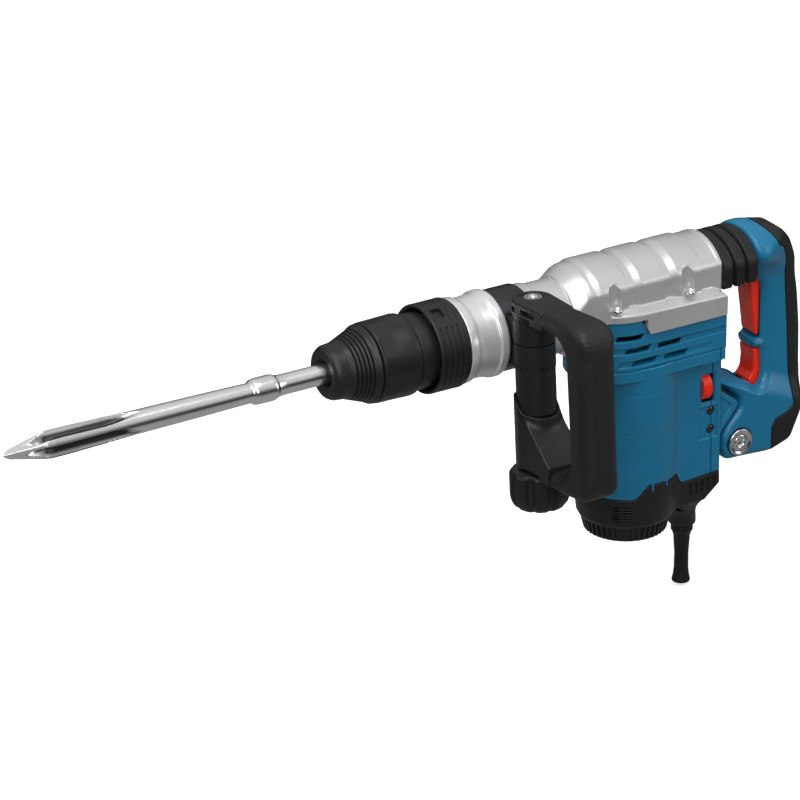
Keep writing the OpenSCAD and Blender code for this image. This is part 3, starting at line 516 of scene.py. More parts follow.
def net(field, lo, hi, size):
    """A quad mesh of the surface where field(x, y, z) is zero."""
    axes = [np.arange(a, b + size, size) for a, b in zip(lo, hi)]
    x, y, z = np.meshgrid(*axes, indexing="ij", sparse=True)
    f = np.broadcast_to(field(x, y, z), tuple(len(a) for a in axes)).astype(np.float64)
    f = np.where(np.abs(f) < 1e-9, 1e-9, f)
    sign = f < 0
    shape = np.array(f.shape) - 1
    total = np.zeros(tuple(shape) + (3,))
    count = np.zeros(tuple(shape))

    def corner(array, c):
        return array[c[0]:c[0] + shape[0], c[1]:c[1] + shape[1], c[2]:c[2] + shape[2]]

    for a, b in EDGES:
        fa, fb = corner(f, a), corner(f, b)
        cross = corner(sign, a) != corner(sign, b)
        t = np.where(cross, fa / np.where(cross, fa - fb, 1), 0)
        for k in range(3):
            total[..., k] += np.where(cross, a[k] + (b[k] - a[k]) * t, 0)
        count += cross
    used = count > 0
    index = -np.ones(tuple(shape), dtype=np.int64)
    index[used] = np.arange(used.sum())
    cell = np.argwhere(used)
    verts = cell + total[used] / count[used][:, None]
    verts = verts * size + np.array(lo)
    quads = []
    for k in range(3):
        i, j = [(1, 2), (2, 0), (0, 1)][k]
        near = [slice(None)] * 3
        far = [slice(None)] * 3
        near[k], far[k] = slice(0, -1), slice(1, None)
        a, b = sign[tuple(near)], sign[tuple(far)]
        spots = np.argwhere(a != b)
        ok = (spots[:, i] > 0) & (spots[:, j] > 0) & (spots[:, i] < shape[i]) & (spots[:, j] < shape[j])
        spots = spots[ok]
        flip = a[tuple(spots.T)]
        around = []
        for di, dj in ((1, 1), (0, 1), (0, 0), (1, 0)):
            c = spots.copy()
            c[:, i] -= di
            c[:, j] -= dj
            around.append(index[tuple(c.T)])
        quad = np.stack(around, 1)
        quad[~flip] = quad[~flip][:, ::-1]
        quads.append(quad)
    return verts, np.concatenate(quads)


def slope(field, p, h=0.12):
    """The field's gradient at points p."""
    return np.stack([
        field(p[:, 0] + h, p[:, 1], p[:, 2]) - field(p[:, 0] - h, p[:, 1], p[:, 2]),
        field(p[:, 0], p[:, 1] + h, p[:, 2]) - field(p[:, 0], p[:, 1] - h, p[:, 2]),
        field(p[:, 0], p[:, 1], p[:, 2] + h) - field(p[:, 0], p[:, 1], p[:, 2] - h),
    ], -1) / (2 * h)


def solid(name, field, lo, hi, size, slot, body, nodes=(), tilt=False, relax=2):
    """A moulded piece from a distance field: netted, drawn onto the surface, with the field's own normals."""
    verts, quads = net(field, lo, hi, size)
    for _ in range(relax):
        g = slope(field, verts)
        square = np.maximum((g * g).sum(1), 0.05)
        move = -field(verts[:, 0], verts[:, 1], verts[:, 2])[:, None] * g / square[:, None]
        limit = size * 0.45
        size_of = np.linalg.norm(move, axis=1, keepdims=True)
        verts = verts + move * np.minimum(1, limit / np.maximum(size_of, 1e-9)) * 0.85
    g = slope(field, verts, 0.35)
    normals = g / np.maximum(np.linalg.norm(g, axis=1, keepdims=True), 1e-9)
    return add_piece(name, verts, quads, slot, body, nodes, normals=normals, tilt=tilt)


# ---------------------------------------------------------------- tool bit and nose
def flute_share(along):
    """How much of their full depth the four flutes of the point have at one place along the chisel."""
    return step(along, 17.0, 34.0) * (1 - step(along, 92.0, 134.0))


def chisel_piece():
    line = [[0.0, 0.5], [0.8, 2.0], [5, 4.2], [37, 11.2], [44, 12.0], [60, 11.9], [90, 11.2], [124, 10.3],
            [190, 9.6], [235.6, 8.8], [236.4, 9.2], [237.6, 10.5], [239.4, 11.2], [243, 11.5], [256, 11.5],
            [258.6, 11.2],
            [260.2, 10.2], [261.4, 9.7], [264, 9.4], [268, 9.0], [397.5, 9.0], [399.4, 7.6], [399.9, 0.01]]
    along = np.unique(np.concatenate([
        np.linspace(0, 50, 90), np.linspace(50, 135, 110), np.linspace(135, 234, 24),
        np.linspace(234, 270, 60), np.linspace(270, 397, 24), [397.5, 398.5, 399.4, 399.9]]))
    radius = np.interp(along, [p[0] for p in line], [p[1] for p in line])
    for _ in range(2):
        radius[1:-1] = np.where((along[1:-1] > 234) & (along[1:-1] < 269),
                                (radius[:-2] + 2 * radius[1:-1] + radius[2:]) / 4, radius[1:-1])
    count = 224
    turn = np.arange(count) * 2 * math.pi / count
    across = ((((turn + math.radians(28)) / (math.pi / 2)) % 1.0) - 0.5)[None, :] * 2.0
    # the tip is a four-sided pyramid, and each flute is a round groove that narrows as it runs out
    square = 0.735 + 0.3 * step(along, 30.0, 50.0)[:, None]
    reach = np.minimum(radius[:, None], radius[:, None] * square / np.cos(across * math.pi / 4))
    share = flute_share(along)[:, None]
    hollow = np.clip(1 - (across / (0.70 * np.sqrt(share) + 0.001)) ** 2, 0, 1) ** 0.62
    reach = np.maximum(reach - 6.0 * share * hollow, 0.3)
    grip_slot = (step(along, 318, 322) * (1 - step(along, 342, 346)))[:, None]
    side = np.abs(np.abs(np.sin(turn)) - 1)[None, :]
    reach = reach - 2.6 * grip_slot * np.clip(1 - side / 0.07, 0, 1)
    x = np.repeat(along[:, None], count, axis=1)
    verts = np.stack([x, reach * np.cos(turn), reach * np.sin(turn)], -1).reshape(-1, 3)
    verts = np.vstack([verts, [[0.0, 0, 0], [400.0, 0, 0]]])
    faces = lattice(len(along), count) + fans(len(along), count)
    fix_normals(add_piece("chisel_piece", verts, faces, "tool_steel", "bit", ["chisel"], sharp=42))


chisel_piece()


def cap_grooves(along, turn, reach):
    for i in range(5):
        at = 327.3 + i * 3.35
        deep = np.clip(1 - np.abs(along - at) / 0.95, 0, 1)
        reach = reach - 1.7 * np.sin(deep * math.pi / 2) * (reach > 22)
    return reach


cap_line = [[308.5, 13.4], [308.5, 19.6], [310.0, 22.3], [313.5, 24.1], [318, 24.5], [322.5, 24.9]]
cap_line += [[322.5 + i * 0.42, 24.9 + i * 0.42 * 0.365] for i in range(1, 52)]
cap_line += [[345.6, 33.9], [347.4, 34.8], [347.9, 33.5], [347.9, 14.3], [318, 14.3], [316.5, 9.5],
             [314, 9.5]]
turned("dust_cap_piece", cap_line, "grey_rubber", "holder", ["dust_cap"], 144, cap_grooves, 0.4, steps=2)


def sleeve_flats(along, turn, reach):
    # broad finger flats that run out towards the back of the sleeve
    across = ((turn / (2 * math.pi) * 6 + 0.23) % 1.0 - 0.5) * math.pi / 3
    run = step(along, 350, 353) * (1 - step(along, 362, 380))
    flat = np.minimum(reach, 34.1 / np.cos(across))
    return np.where(reach > 34, reach + (flat - reach) * run, reach)


sleeve_line = [[349.2, 20.3], [349.2, 33.9], [350.1, 35.0], [352, 35.4]]
sleeve_line += [[352 + i * 1.0, 35.4 + i * 0.02] for i in range(1, 30)]
sleeve_line += [[384.0, 36.0], [386.3, 35.6], [388.0, 34.3], [388.3, 33.1], [389.2, 33.1], [389.4, 33.6],
                [396, 33.3], [406, 33.0], [406, 31.0], [365.2, 31.0], [365.2, 20.3]]
turned("locking_sleeve_piece", sleeve_line, "black_shell", "sleeve", ["locking_sleeve"], 192, sleeve_flats,
       0.5, steps=2)


def ring_marks(along, turn, reach):
    # a window near the top, fine grip grooves on the rest of the ring
    place = (turn - math.radians(112) + math.pi) % (2 * math.pi) - math.pi
    span = place * 39.4
    outer = reach > 36.5
    plain = 1 - step(np.abs(span), 15.0, 16.0)
    for i in range(4):
        at = 409.5 + i * 5.5
        wave = np.clip(1 - np.abs(along - at) / 1.9, 0, 1)
        reach = reach - 1.5 * np.sin(wave * math.pi / 2) ** 2 * outer * (1 - plain)
    inside = step(along, 408.8, 409.8) * (1 - step(along, 418.0, 419.0))
    hole = inside * (1 - step(np.abs(span + 1.0), 4.6, 5.6))
    reach = reach - 3.0 * hole * outer
    shelf = step(along, 421.5, 422.3) * (1 - step(along, 423.2, 424.0)) * (1 - step(np.abs(span), 7, 8))
    return reach - 0.6 * shelf * outer


ring_line = [[407.9, 33.5], [403.4, 37.2], [403.4, 38.7], [404.6, 39.3]]
ring_line += [[404.9 + i * 0.3, 39.35] for i in range(88)]
ring_line += [[432.0, 39.5], [433.4, 38.9], [433.5, 37.0], [433.5, 28.3], [420.1, 28.3], [420.1, 33.5]]
turned("position_ring_piece", ring_line, "black_shell", "ring", ["position_ring"], 288, ring_marks, 0.3,
       steps=1)

collar_line = [[434.1, 33.05], [434.1, 38.0], [434.9, 38.4], [437.5, 38.2], [441.5, 37.7], [443.8, 36.9],
               [444.6, 36.0], [446.2, 35.7], [454, 35.8], [462, 36.5], [464.4, 37.0], [465.2, 38.3],
               [470.8, 38.5], [472.6, 37.8], [473.4, 36.4], [473.4, 33.05]]
turned("front_collar_piece", collar_line, "silver_collar", "housing", ["front_collar"], 160, None, 0.6)

# ---------------------------------------------------------------- gear housing
BANDS = [(562.5, 567.5, 595.0), (602.5, 608.5, 633.0), (639.5, 646.5, 671.5)]


def plan(x, y, half, x1):
    """Distance from the upper body's plan: a round front and straight sides."""
    centre = 603.0
    side = np.abs(y) - half
    front = length2(np.minimum(x - centre, 0), y) - half
    return np.maximum(np.where(x < centre, front, side), x - x1)


def gear_field(x, y, z):
    r = length2(y, z)
    neck = outline(x, r, [(410, -5), (410, 28), (433.9, 28), (433.9, 33), (504.5, 33), (505.6, 34.7),
                          (513.4, 34.7),
                          (514.6, 33), (539.5, 33), (541, 32.4), (542, 34.6), (545.5, 36.6), (550, 39.2),
                          (554, 41.6), (558, 42.9), (566, 43.3), (692.6, 43.3), (692.6, -5)])
    raised = 0.0
    for x0, x1, x2 in BANDS:
        raised = raised + 1.7 * np.clip((x - x0) / (x1 - x0), 0, 1) * (1 - np.clip((x - x2) / 0.5, 0, 1))
    raised = raised + 0.5 * np.clip((x - 688.5) / 1.0, 0, 1)
    flat = np.where(z > -20, np.abs(y) - 35.0, -20.0)
    drum = smax(neck, flat, 2.2) - raised
    # the ledge slopes out and down from the flat sides
    d = plan(x, y, 46.0, 692.6)
    lower = outline(x, z, [(540, -3.5), (604.8, -3.5), (612.4, -18.3), (700, -18.3), (700, 30), (540, 30)])
    slope_top = (d + 10.0) * 0.42 + (z - 8.4 + 3.2 * np.clip((x - 565) / 125, 0, 1)) * 0.90
    ledge = smax(smax(smax(d, slope_top, 1.6), lower, 1.2), z - 14.0, 1.0)
    body = smin(drum, ledge, 1.6)
    for at in (580.6, 656.5):
        pocket = np.maximum(length2(x - at, np.abs(y) - 38.6) - 6.3, 8.6 - z)
        body = smax(body, -pocket, 1.4)
    # behind the neck the casting ends at the seam, which drops at a step
    seam = np.where(x < 608.5, -3.5 - z, -18.3 - z)
    body = np.where(x < 552, body, np.maximum(body, seam))
    cavity = np.minimum(
        smax(r - 38.8, np.abs(y) - 30.2, 3.0), np.maximum(plan(x, y, 40.0, 690), z + 1.0),
    )
    cavity = np.maximum(cavity, between(x, 562, 687.5))
    bore = np.maximum(r - np.where(x < 438, 20.1, 25.0), between(x, 400, 564))
    return np.maximum(np.maximum(body, -cavity), -bore)


solid("gear_housing_piece", gear_field, (409, -48, -38), (694, 48, 48), 0.9, "silver_cast", "housing",
      ["gear_housing"])


def cap_screw(name, x, y):
    """A domed screw head with a hexagonal socket, seated in its pocket in the ledge."""
    line = [[8.8, 0.01], [8.8, 4.7], [10.4, 4.9], [11.4, 4.3], [11.9, 3.2], [12.1, 2.4], [10.6, 2.2],
            [10.4, 0.01]]

    def socket(along, turn, reach):
        corner = 1.0 / np.cos((turn + math.pi / 6) % (math.pi / 3) - math.pi / 6)
        return np.where((reach > 1.9) & (reach < 2.45), reach * corner * 0.93, reach)

    turned(name, line, "bright_steel", "housing", ["housing_screws"], 48, socket, 0.35, "z", (x, y),
           closed=False, steps=2)


for index, (x, y) in enumerate([(580.5, -40.8), (656.5, -40.8), (580.5, 40.8), (656.5, 40.8)]):
    cap_screw("cap_screw_%d" % index, x, y)

# ---------------------------------------------------------------- vent section
SLOT_ROWS = [(571, 606.5, 582.0, -22.2), (577.5, 613.5, 589.5, -34.2), (583.5, 620.5, 596.0, -46.4),
             (616.5, 690.0, 622.0, -34.8), (622.5, 676.0, 628.5, -46.9)]


def vent_field(x, y, z):
    d = plan(x, y, 43.0, 694.0)
    top = outline(x, z, [(540, -3.8), (604.5, -3.8), (612.1, -18.6), (697, -18.6), (697, -60), (540, -60)])
    body = smax(smax(d, top, 1.5), -50.6 - z, 1.0)
    lean = 0.45
    for x0, x1, x2, z0 in SLOT_ROWS:
        shift = (z - z0) * lean
        band = rect(z, z0, z0 + 5.2, x - shift, x0, x1)
        recess = np.maximum(band, -(d + 1.5))
        body = smax(body, -recess, 0.5)
        hole = rect(z, z0 + 0.1, z0 + 5.1, x - shift, x2, x2 + 23.5)
        body = smax(body, -np.maximum(hole, -60 - z), 0.5)
    inner = np.maximum(plan(x, y, 39.4, 690.5), -44.8 - z)
    body = np.maximum(body, -inner)
    body = np.maximum(body, -np.maximum(length2(y, z) - 26.5, x - 584))
    hub = np.maximum(np.minimum(length2(x - CRANK_X, y) - 18, length2(x - MOTOR_X, y) - 16),
                     between(z, -46, -36))
    body = np.minimum(body, hub)
    holes = np.minimum(length2(x - MOTOR_X, y) - 13.1, np.maximum(length2(x - CRANK_X, y) - 15.1, -46 - z))
    return np.maximum(body, -holes)


solid("vent_housing_piece", vent_field, (558, -45, -52), (696, 45, -2), 0.95, "blue_shell", "housing",
      ["vent_housing"])

# ---------------------------------------------------------------- motor housing
BOTTOM = rounded_outline([(560, -40), (560, -175), (602, -175), (613.5, -161.5), (640, -164.5), (650, -163.5),
                          (656.5, -176.0), (705, -173.0), (705, -40)], 4.0)


def below_split(x, z):
    """Below zero on the blue side of the lower parting line, which has two small tabs."""
    line = outline(x, z, BOTTOM)
    for at in (616.5, 633.0):
        line = np.minimum(line, rect(x, at, at + 2.6, z, -169.0, -160))
    return line


def body_box(x, y, z, x1, half=31.0, r=3.0):
    return block(x, y, z, 600, x1, -half, half, -260, -40, r)


# x0, x1, z0, z1, depth and edge rounding of the wheel's window and well and of the lamp panel
RECESSES = [(675.5, 691.5, -107, -77.5, 1.2, 0.6), (678, 690.5, -105, -79.3, 16, 0.5),
            (675.5, 693.5, -139.5, -109.5, 1.0, 0.6)]


def controls(x, y, z, shape):
    """Cuts the speed wheel's window and the lamp panel into the left side."""
    for x0, x1, z0, z1, depth, edge in RECESSES:
        recess = np.maximum(rect(x, x0, x1, z, z0, z1), y + BOX_HALF - depth)
        shape = smax(shape, -recess, edge)
    for at in LAMP_Z:
        shape = smax(shape, -np.maximum(length2(x - LAMP_X, z - at) - 4.15, y + BOX_HALF - 6), 0.3)
    return shape


def motor_field(x, y, z):
    r = length2(x - MOTOR_X, y)
    barrel = r - 45.0
    shape = smin(barrel, body_box(x, y, z, 704), 7.0)
    flange = np.maximum(plan(x, y, 43.0, 694.0) + np.maximum(0, -61.5 - z) * 1.9, -80 - z)
    shape = smin(shape, smax(flange, -68 - z, 6.0), 2.5)
    # raised blank label field on the barrel and a second one below it
    label = np.maximum(between(z, -111.5, -76.5), x - 655)
    shape = shape - 0.28 * (1 - step(label, -0.9, 0.5)) * (y < 0) * (barrel < 8)
    lower = np.maximum(np.maximum(between(z, -146, -116), x - 641), 584 - x)
    shape = shape + 0.25 * (1 - step(lower, -1.2, 0.4)) * (y < 0) * (barrel > -8)
    shape = smax(shape, z + 51.0, 1.2)
    shape = smax(shape, x - 687.9, 0.5)
    shape = smax(shape, below_split(x, z), 0.8)
    shape = controls(x, y, z, shape)
    # a slot and an arrow-shaped recess on the left side
    slot = np.maximum(rect(x, 668.5, 676.5, z, -68.3, -65.2), y + BOX_HALF - 5)
    shape = smax(shape, -slot, 0.4)
    arrow = outline(x, z, [(564, -57.5), (577.5, -58.5), (577.5, -66.0)])
    shape = smax(shape, -np.maximum(np.maximum(arrow, y + 4), -(flange + 1.6)), 0.3)
    inner = smin(r - 40.5, block(x, y, z, 600, 700, -28, 28, -260, -40), 1.0)
    inner = np.maximum(inner, z + 57.0)
    return np.maximum(shape, -np.minimum(inner, length2(x - MOTOR_X, y) - 13.1))


solid("motor_housing_piece", motor_field, (558, -48, -180), (690, 48, -49), 1.05, "blue_shell", "housing",
      ["motor_housing"])


def cover_field(x, y, z):
    shape = body_box(x, y, z, 698.5, 31.0, 2.6)
    upper = block(x, y, z, 600, 694.0, -43, 43, -62, -40, 2.0)
    shape = smax(smin(shape, np.maximum(upper, x - 694.0), 5.0), z + 51.0, 1.0)
    shape = smax(shape, below_split(x, z), 0.8)
    ear = outline(x, z, rounded_outline([(690, -96), (698, -97.6), (719.5, -114.5), (720.8, -118),
                                         (719.0, -121.5), (706, -137.5), (700, -146), (690, -148)], 3.0))
    ear = meet(ear + 1.5, np.abs(y) - 25.0 + 1.5) - 1.5
    panel = outline(x, z, rounded_outline([(698, -104), (714, -117), (702, -134), (698, -137)], 2.0))
    ear = smax(ear, -np.maximum(panel, 24.0 - np.abs(y)), 0.6)
    arm = outline(x, z, [(690, -138), (706, -137), (732.3, -144.5), (735.3, -150), (736.6, -156), (732, -166),
                         (723.3, -169), (690, -168)])
    tongue = smin(meet(arm + 1, np.abs(y) - 10 + 1) - 1,
                  meet(length2(x - PIVOT_X, z - PIVOT_Z) - 14 + 1, np.abs(y) - 10 + 1) - 1, 2)
    shape = smin(shape, smin(ear, tongue, 3.0), 2.0)
    shape = np.maximum(shape, 688.35 - x)
    shape = np.maximum(shape, -(length2(x - PIVOT_X, z - PIVOT_Z) - 8.1))
    shape = controls(x, y, z, shape)
    return np.maximum(shape, -block(x, y, z, 680, 695.2, -28, 28, -172, -57))


solid("rear_cover_piece", cover_field, (687, -46, -180), (740, 46, -49), 1.0, "blue_shell", "housing",
      ["rear_cover"])

# ---------------------------------------------------------------- motor end
def end_field(x, y, z):
    r = length2(x - MOTOR_X, y)
    turned_part = outline(r, z, [(-5, -204), (41.5, -204), (43.4, -200.5), (44.6, -190), (45, -179),
                                 (45, -150), (-5, -150)])
    side = meet(outline(x, z, [(631, -140), (698.5, -140), (698.5, -186), (682.5, -199.2),
                               (631, -199.2)]) + 2.2,
                np.abs(y) - 31 + 2.2) - 2.2
    shape = smin(turned_part, side, 6.0)
    shape = smax(np.maximum(shape, z + 158), 0.45 - below_split(x, z), 0.8)
    for i in range(5):
        at = 665.5 + i * 6.1
        top = -179.6 + i * 0.55
        slot = np.maximum(rect(x, at, at + 2.7, z, top - 12.2, top), 28.8 - np.abs(y))
        bars = np.abs(((z - top) % 2.45) - 1.22) - 0.75
        shape = smax(shape, -np.maximum(slot, np.where(np.abs(y) > 29.6, -5.0, -bars)), 0.4)
    angle = np.degrees(np.arctan2(np.abs(y), MOTOR_X - x))
    for a in (45.5, 58.5):
        across = (angle - a) * 0.785
        oval = length2(across, np.maximum(np.abs(z + 189.2) - 4.6, 0)) - 3.4
        bars = 0.55 - np.abs(((z + 196.4) % 2.72) - 1.36)
        cut = np.maximum(np.maximum(oval, bars), np.maximum(41.8 - r, x - 612))
        shape = smax(shape, -cut, 0.4)
    inner = np.maximum(smin(r - 40, block(x, y, z, 640, 694, -28, 28, -183, -100), 1.0), -201 - z)
    shape = np.maximum(shape, -inner)
    floor = np.maximum(between(z, -203.8, -201.0), r - 41)
    boss = np.maximum(np.maximum(r - 14, 11.1 - r), between(z, -203, -184.3))
    # a round channel in the floor lets the air in
    inlet = np.abs(r - 23.0) - 4.5
    shape = np.maximum(shape, np.where(z < -200.5, -inlet, -50.0))
    return np.minimum(shape, np.minimum(boss, np.maximum(floor, -inlet)))


solid("motor_end_cap_piece", end_field, (572, -47, -206), (700, 47, -156), 0.68, "black_shell", "housing",
      ["motor_end_cap"])
dressed("intake_ring", 0.35)


def gland_field(x, y, z):
    t = np.clip((-199.4 - z) / 31.0, 0, 1)
    half = 29.0 - 15.0 * t
    wall = smax(between(x, 657 + 9 * t, 684.5 + 6 * t), np.abs(y) - half, 5.0)
    shape = wall * (1 - t) + (length2(x - GLAND_X, y) - 12.2) * t
    shape = smax(shape, between(z, -231.2, -199.4), 1.2)
    shape = np.maximum(shape, -(length2(x - MOTOR_X, y) - 45.2))
    return np.maximum(shape, -np.minimum(length2(x - GLAND_X, y) - 8.1,
                                         block(x, y, z, 663, 687, -17, 17, -212, -190)))


solid("cord_gland_piece", gland_field, (655, -34, -233), (694, 34, -198), 0.9, "black_shell", "housing",
      ["cord_gland"])

relief_line = [[-212.2, 4.6], [-212.2, 8.0], [-231.2, 8.0], [-231.2, 9.6], [-232.0, 9.9], [-238.0, 9.9],
               [-238.9, 9.4], [-240.4, 8.3], [-242.2, 8.2], [-243.5, 7.5], [-262, 6.3], [-276, 6.5],
               [-283, 7.3], [-287.4, 8.3], [-288.7, 7.9], [-289.0, 7.2], [-289.0, 4.6]]
turned("strain_relief_piece", relief_line, "black_rubber", "housing", ["strain_relief"], 64, None, 0.5, "z",
       (GLAND_X, 0))

# ---------------------------------------------------------------- wheel and lamps
dressed("speed_wheel", 0.25)
for name, z in zip(("lamp_lens_upper", "lamp_lens_lower"), LAMP_Z):
    dome = [[-30.1, 0.01], [-30.1, 1.2], [-29.8, 2.4], [-29.2, 3.4], [-28.5, 3.95], [-26.8, 3.95],
            [-26.8, 0.01]]
    turned(name, dome, "lens", "housing", ["indicator_lenses"], 48, None, 0.3, "y", (LAMP_X, z), closed=False,
           steps=2, sharp=None)

# ---------------------------------------------------------------- bellows
def bellows_field(x, y, z):
    at = (x - 693.4) / 38.4 * 3.0
    into = np.abs((at % 1.0) - 0.5) * 2.0
    fold = 3.6 * np.clip((into - 0.62) / 0.30, 0, 1)
    fold = np.where((x < 694.6) | (x > 730.6), fold * 0.4, fold)
    r = length2(y, z)
    ring = smax(smax(r - 41.4, np.abs(y) - 36.0, 3.0), -z, 4.0) + fold
    ring = np.maximum(ring, between(x, 693.3, 731.8))
    inner = smax(smax(r - 34, np.abs(y) - 28.6, 3.0), 7.0 - z, 3.0)
    return np.maximum(ring, -inner)


bellows = solid("bellows_piece", bellows_field, (692, -38, -2), (733.5, 38, 43), 0.85, "black_rubber", None,
                ["bellows"])
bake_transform(bellows)



def coil(name, x0, x1, radius, wire, turns, z, node):
    """A helical spring along X with flat closed ends."""
    steps, sides = 36, 12
    share = np.linspace(0, 1, int(steps * (turns + 2)) + 1)
    turn = share * (turns + 2) * 2 * math.pi
    along = x0 + wire + (x1 - x0 - 2 * wire) * np.clip((share * (turns + 2) - 1) / turns, 0, 1)
    # the closed end turns sit a wire's width apart
    ends = np.minimum(share, 1 - share) * (turns + 2)
    along = along + np.where(share < 0.5, 1, -1) * 2 * wire * np.clip(ends, 0, 1) * (1 - step(ends, 1.0, 2.0))
    centre = np.stack([along, radius * np.cos(turn), z + radius * np.sin(turn)], -1)
    out = np.stack([0 * turn, np.cos(turn), np.sin(turn)], -1)
    around = np.arange(sides) * 2 * math.pi / sides
    ring = centre[:, None] + wire * (np.cos(around)[None, :, None] * out[:, None]
                                     + np.sin(around)[None, :, None] * np.array([1.0, 0, 0]))
    verts = np.vstack([ring.reshape(-1, 3), centre[:1], centre[-1:]])
    faces = lattice(len(share), sides) + fans(len(share), sides)
    obj = add_piece(name, verts, faces, SLOTS[node], None, [node])
    fix_normals(obj)
    return obj


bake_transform(coil("sleeve_coil", 366.4, 389.6, 25.2, 0.7, 3.0, 0, "sleeve_spring"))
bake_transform(coil("handle_coil", 694.7, 725.3, 8.0, 1.2, 4.5, 20, "handle_spring"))

# ---------------------------------------------------------------- rear handle
SIDE = rounded_outline([
    (732.5, 42.8), (745, 43.0), (757, 41.0), (769, 35.5), (779, 25), (786, 6), (791.5, -30), (794.2, -62),
    (795.0, -105), (791, -140), (779.5, -166), (757, -173.4), (727, -171.5), (710, -171), (705.2, -162),
    (703.8, -149), (710, -138.5), (725.2, -122.5), (724.6, -114), (703.2, -95.6), (716, -96.5), (734, -101),
    (745.5, -111), (751, -104), (749.5, -90), (748.6, -76), (743.5, -75), (742.8, -67.5), (748.0, -65.5),
    (748, -14), (744, -7.5), (732.5, -5)], 5.0)
SEAM = [(748, 70), (748, 44), (755.0, 35.5), (760.5, 24.7), (767.5, 20.8), (772.0, 8), (777.0, -60),
        (780.0, -118),
        (780.5, -133), (774, -138), (761, -142.5), (757.5, -150), (757.5, -200), (830, -200), (830, 70)]


def handle_width(x, z):
    head = step(z + (x - 755) * 0.25, -8, 18)
    heel = step(-z - (x - 748) * 0.45, 88, 118)
    wide = 35.0 - 15.5 * step(x, 740, 778)
    return 17.0 + (wide - 17.0) * head + (25.0 - 17.0) * heel


def handle_field(x, y, z):
    width = handle_width(x, z)
    head = step(z, -10, 20)
    heel = step(-z, 95, 125)
    soft = 11.0 - 4.5 * heel - 2.0 * head
    d = outline(x, z, SIDE)
    shape = meet(d + soft, np.abs(y) - width + soft) - soft
    top = 43.0 - 4.0 * step(x, 741, 765)
    shape = smax(shape, np.where(z > 0, length2(y, z) - top, -20.0), 4.0)
    return np.maximum(shape, np.where(z > -40, 732.5 - x, -20.0))


def handle_cuts(x, y, z, shape):
    trigger = np.maximum(rect(x, 730, 761, z, -66, -3), np.abs(y) - 11.9)
    button = np.maximum(rect(x, 730, 761, z, -113.5, -75.0), np.abs(y) - 11.9)
    shape = smax(shape, -trigger, 0.8)
    shape = smax(shape, -button, 0.8)
    disc = np.maximum(length2(x - PIVOT_X, z - PIVOT_Z) - 13.3, 22.0 - np.abs(y))
    shape = smax(shape, -disc, 0.8)
    tongue = np.minimum(length2(x - PIVOT_X, z - PIVOT_Z) - 16, outline(x, z, [
        (690, -130), (709, -130), (737, -141), (726, -172), (690, -176)]))
    shape = np.maximum(shape, -np.maximum(tongue, np.abs(y) - 10.7))
    return np.maximum(shape, -np.maximum(length2(x - PIVOT_X, z - PIVOT_Z) - 6.1, np.abs(y) - 22.5))


def shell_field(x, y, z):
    shape = handle_cuts(x, y, z, handle_field(x, y, z))
    return smax(shape, 0.18 - outline(x, z, SEAM), 0.8)


def shell_half(sign):
    def field(x, y, z):
        return smax(shell_field(x, y, z), 0.09 - sign * y, 0.5)
    return field


def overmould_field(x, y, z):
    shape = handle_field(x, y, z) - 0.35
    shape = np.maximum(shape, -np.maximum(rect(x, 752, 770, z, -100, -14),
                                          np.abs(y) - 11))
    return smax(shape, 0.12 + outline(x, z, SEAM), 1.0)


solid("handle_left_shell_piece", shell_half(-1), (701, -37, -176), (790, 1, 46), 1.0, "blue_shell",
      "rear_handle", ["handle_left_shell"])
solid("handle_right_shell_piece", shell_half(1), (701, -1, -176), (790, 37, 46), 1.0, "blue_shell",
      "rear_handle", ["handle_right_shell"])
solid("handle_overmould_piece", overmould_field, (738, -37, -177), (800, 37, 46), 1.0, "soft_grip",
      "rear_handle", ["handle_overmould"])


def trigger_field(x, y, z):
    d = outline(x, z, rounded_outline([(740.0, -4), (756, -4), (756, -13), (751.6, -20), (751.6, -60),
                                       (749.6, -64.5), (746.6, -62.5), (744.0, -42), (741.2, -22)], 2.5))
    ridge = 0.18 * (1 - step(np.abs(y), 1.4, 3.4))
    return meet(d + 2.2, np.abs(y) - 11.0 + 2.2) - 2.2 - ridge


def button_field(x, y, z):
    d = outline(x, z, rounded_outline([(745.0, -76.0), (755.2, -77), (755.2, -110), (750.5, -112.5),
                                       (743.0, -110.0), (740.4, -105.6), (745.4, -99), (746.4, -88)], 2.2))
    return meet(d + 1.8, np.abs(y) - 11.0 + 1.8) - 1.8


solid("trigger_piece", trigger_field, (738, -12, -67), (758, 12, -2), 0.75, "red_plastic", "trigger_lever",
      ["trigger"])
solid("lock_button_piece", button_field, (739, -12, -114), (757, 12, -74), 0.75, "red_plastic", "button",
      ["lock_button"])


# a dished steel disc with a rolled rim and a socket in the middle, on each side
for name, side in (("pivot_disc_left", -1), ("pivot_disc_right", 1)):
    disc = [[21.9, 0.01], [21.9, 11.9], [22.4, 12.5], [26.0, 12.5], [26.9, 12.0], [27.0, 11.2], [26.5, 9.9],
            [25.9, 8.8], [25.9, 6.6], [26.5, 6.0], [26.6, 5.0], [26.0, 3.9], [24.4, 3.4], [24.2, 0.01]]
    turned(name, [[side * y, r] for y, r in disc], "bright_steel", "rear_handle", ["pivot_discs"], 72, None,
           0.45, "y", (PIVOT_X, PIVOT_Z), closed=False, sharp=55)

# ---------------------------------------------------------------- side handle
for node in ("clamp_band", "clamp_upper", "clamp_lower", "tie_rod", "thrust_washer"):
    dressed(node, 0.5)
for node in ("upper_tooth_ring", "detent_sleeve"):
    dressed(node, 0.22)


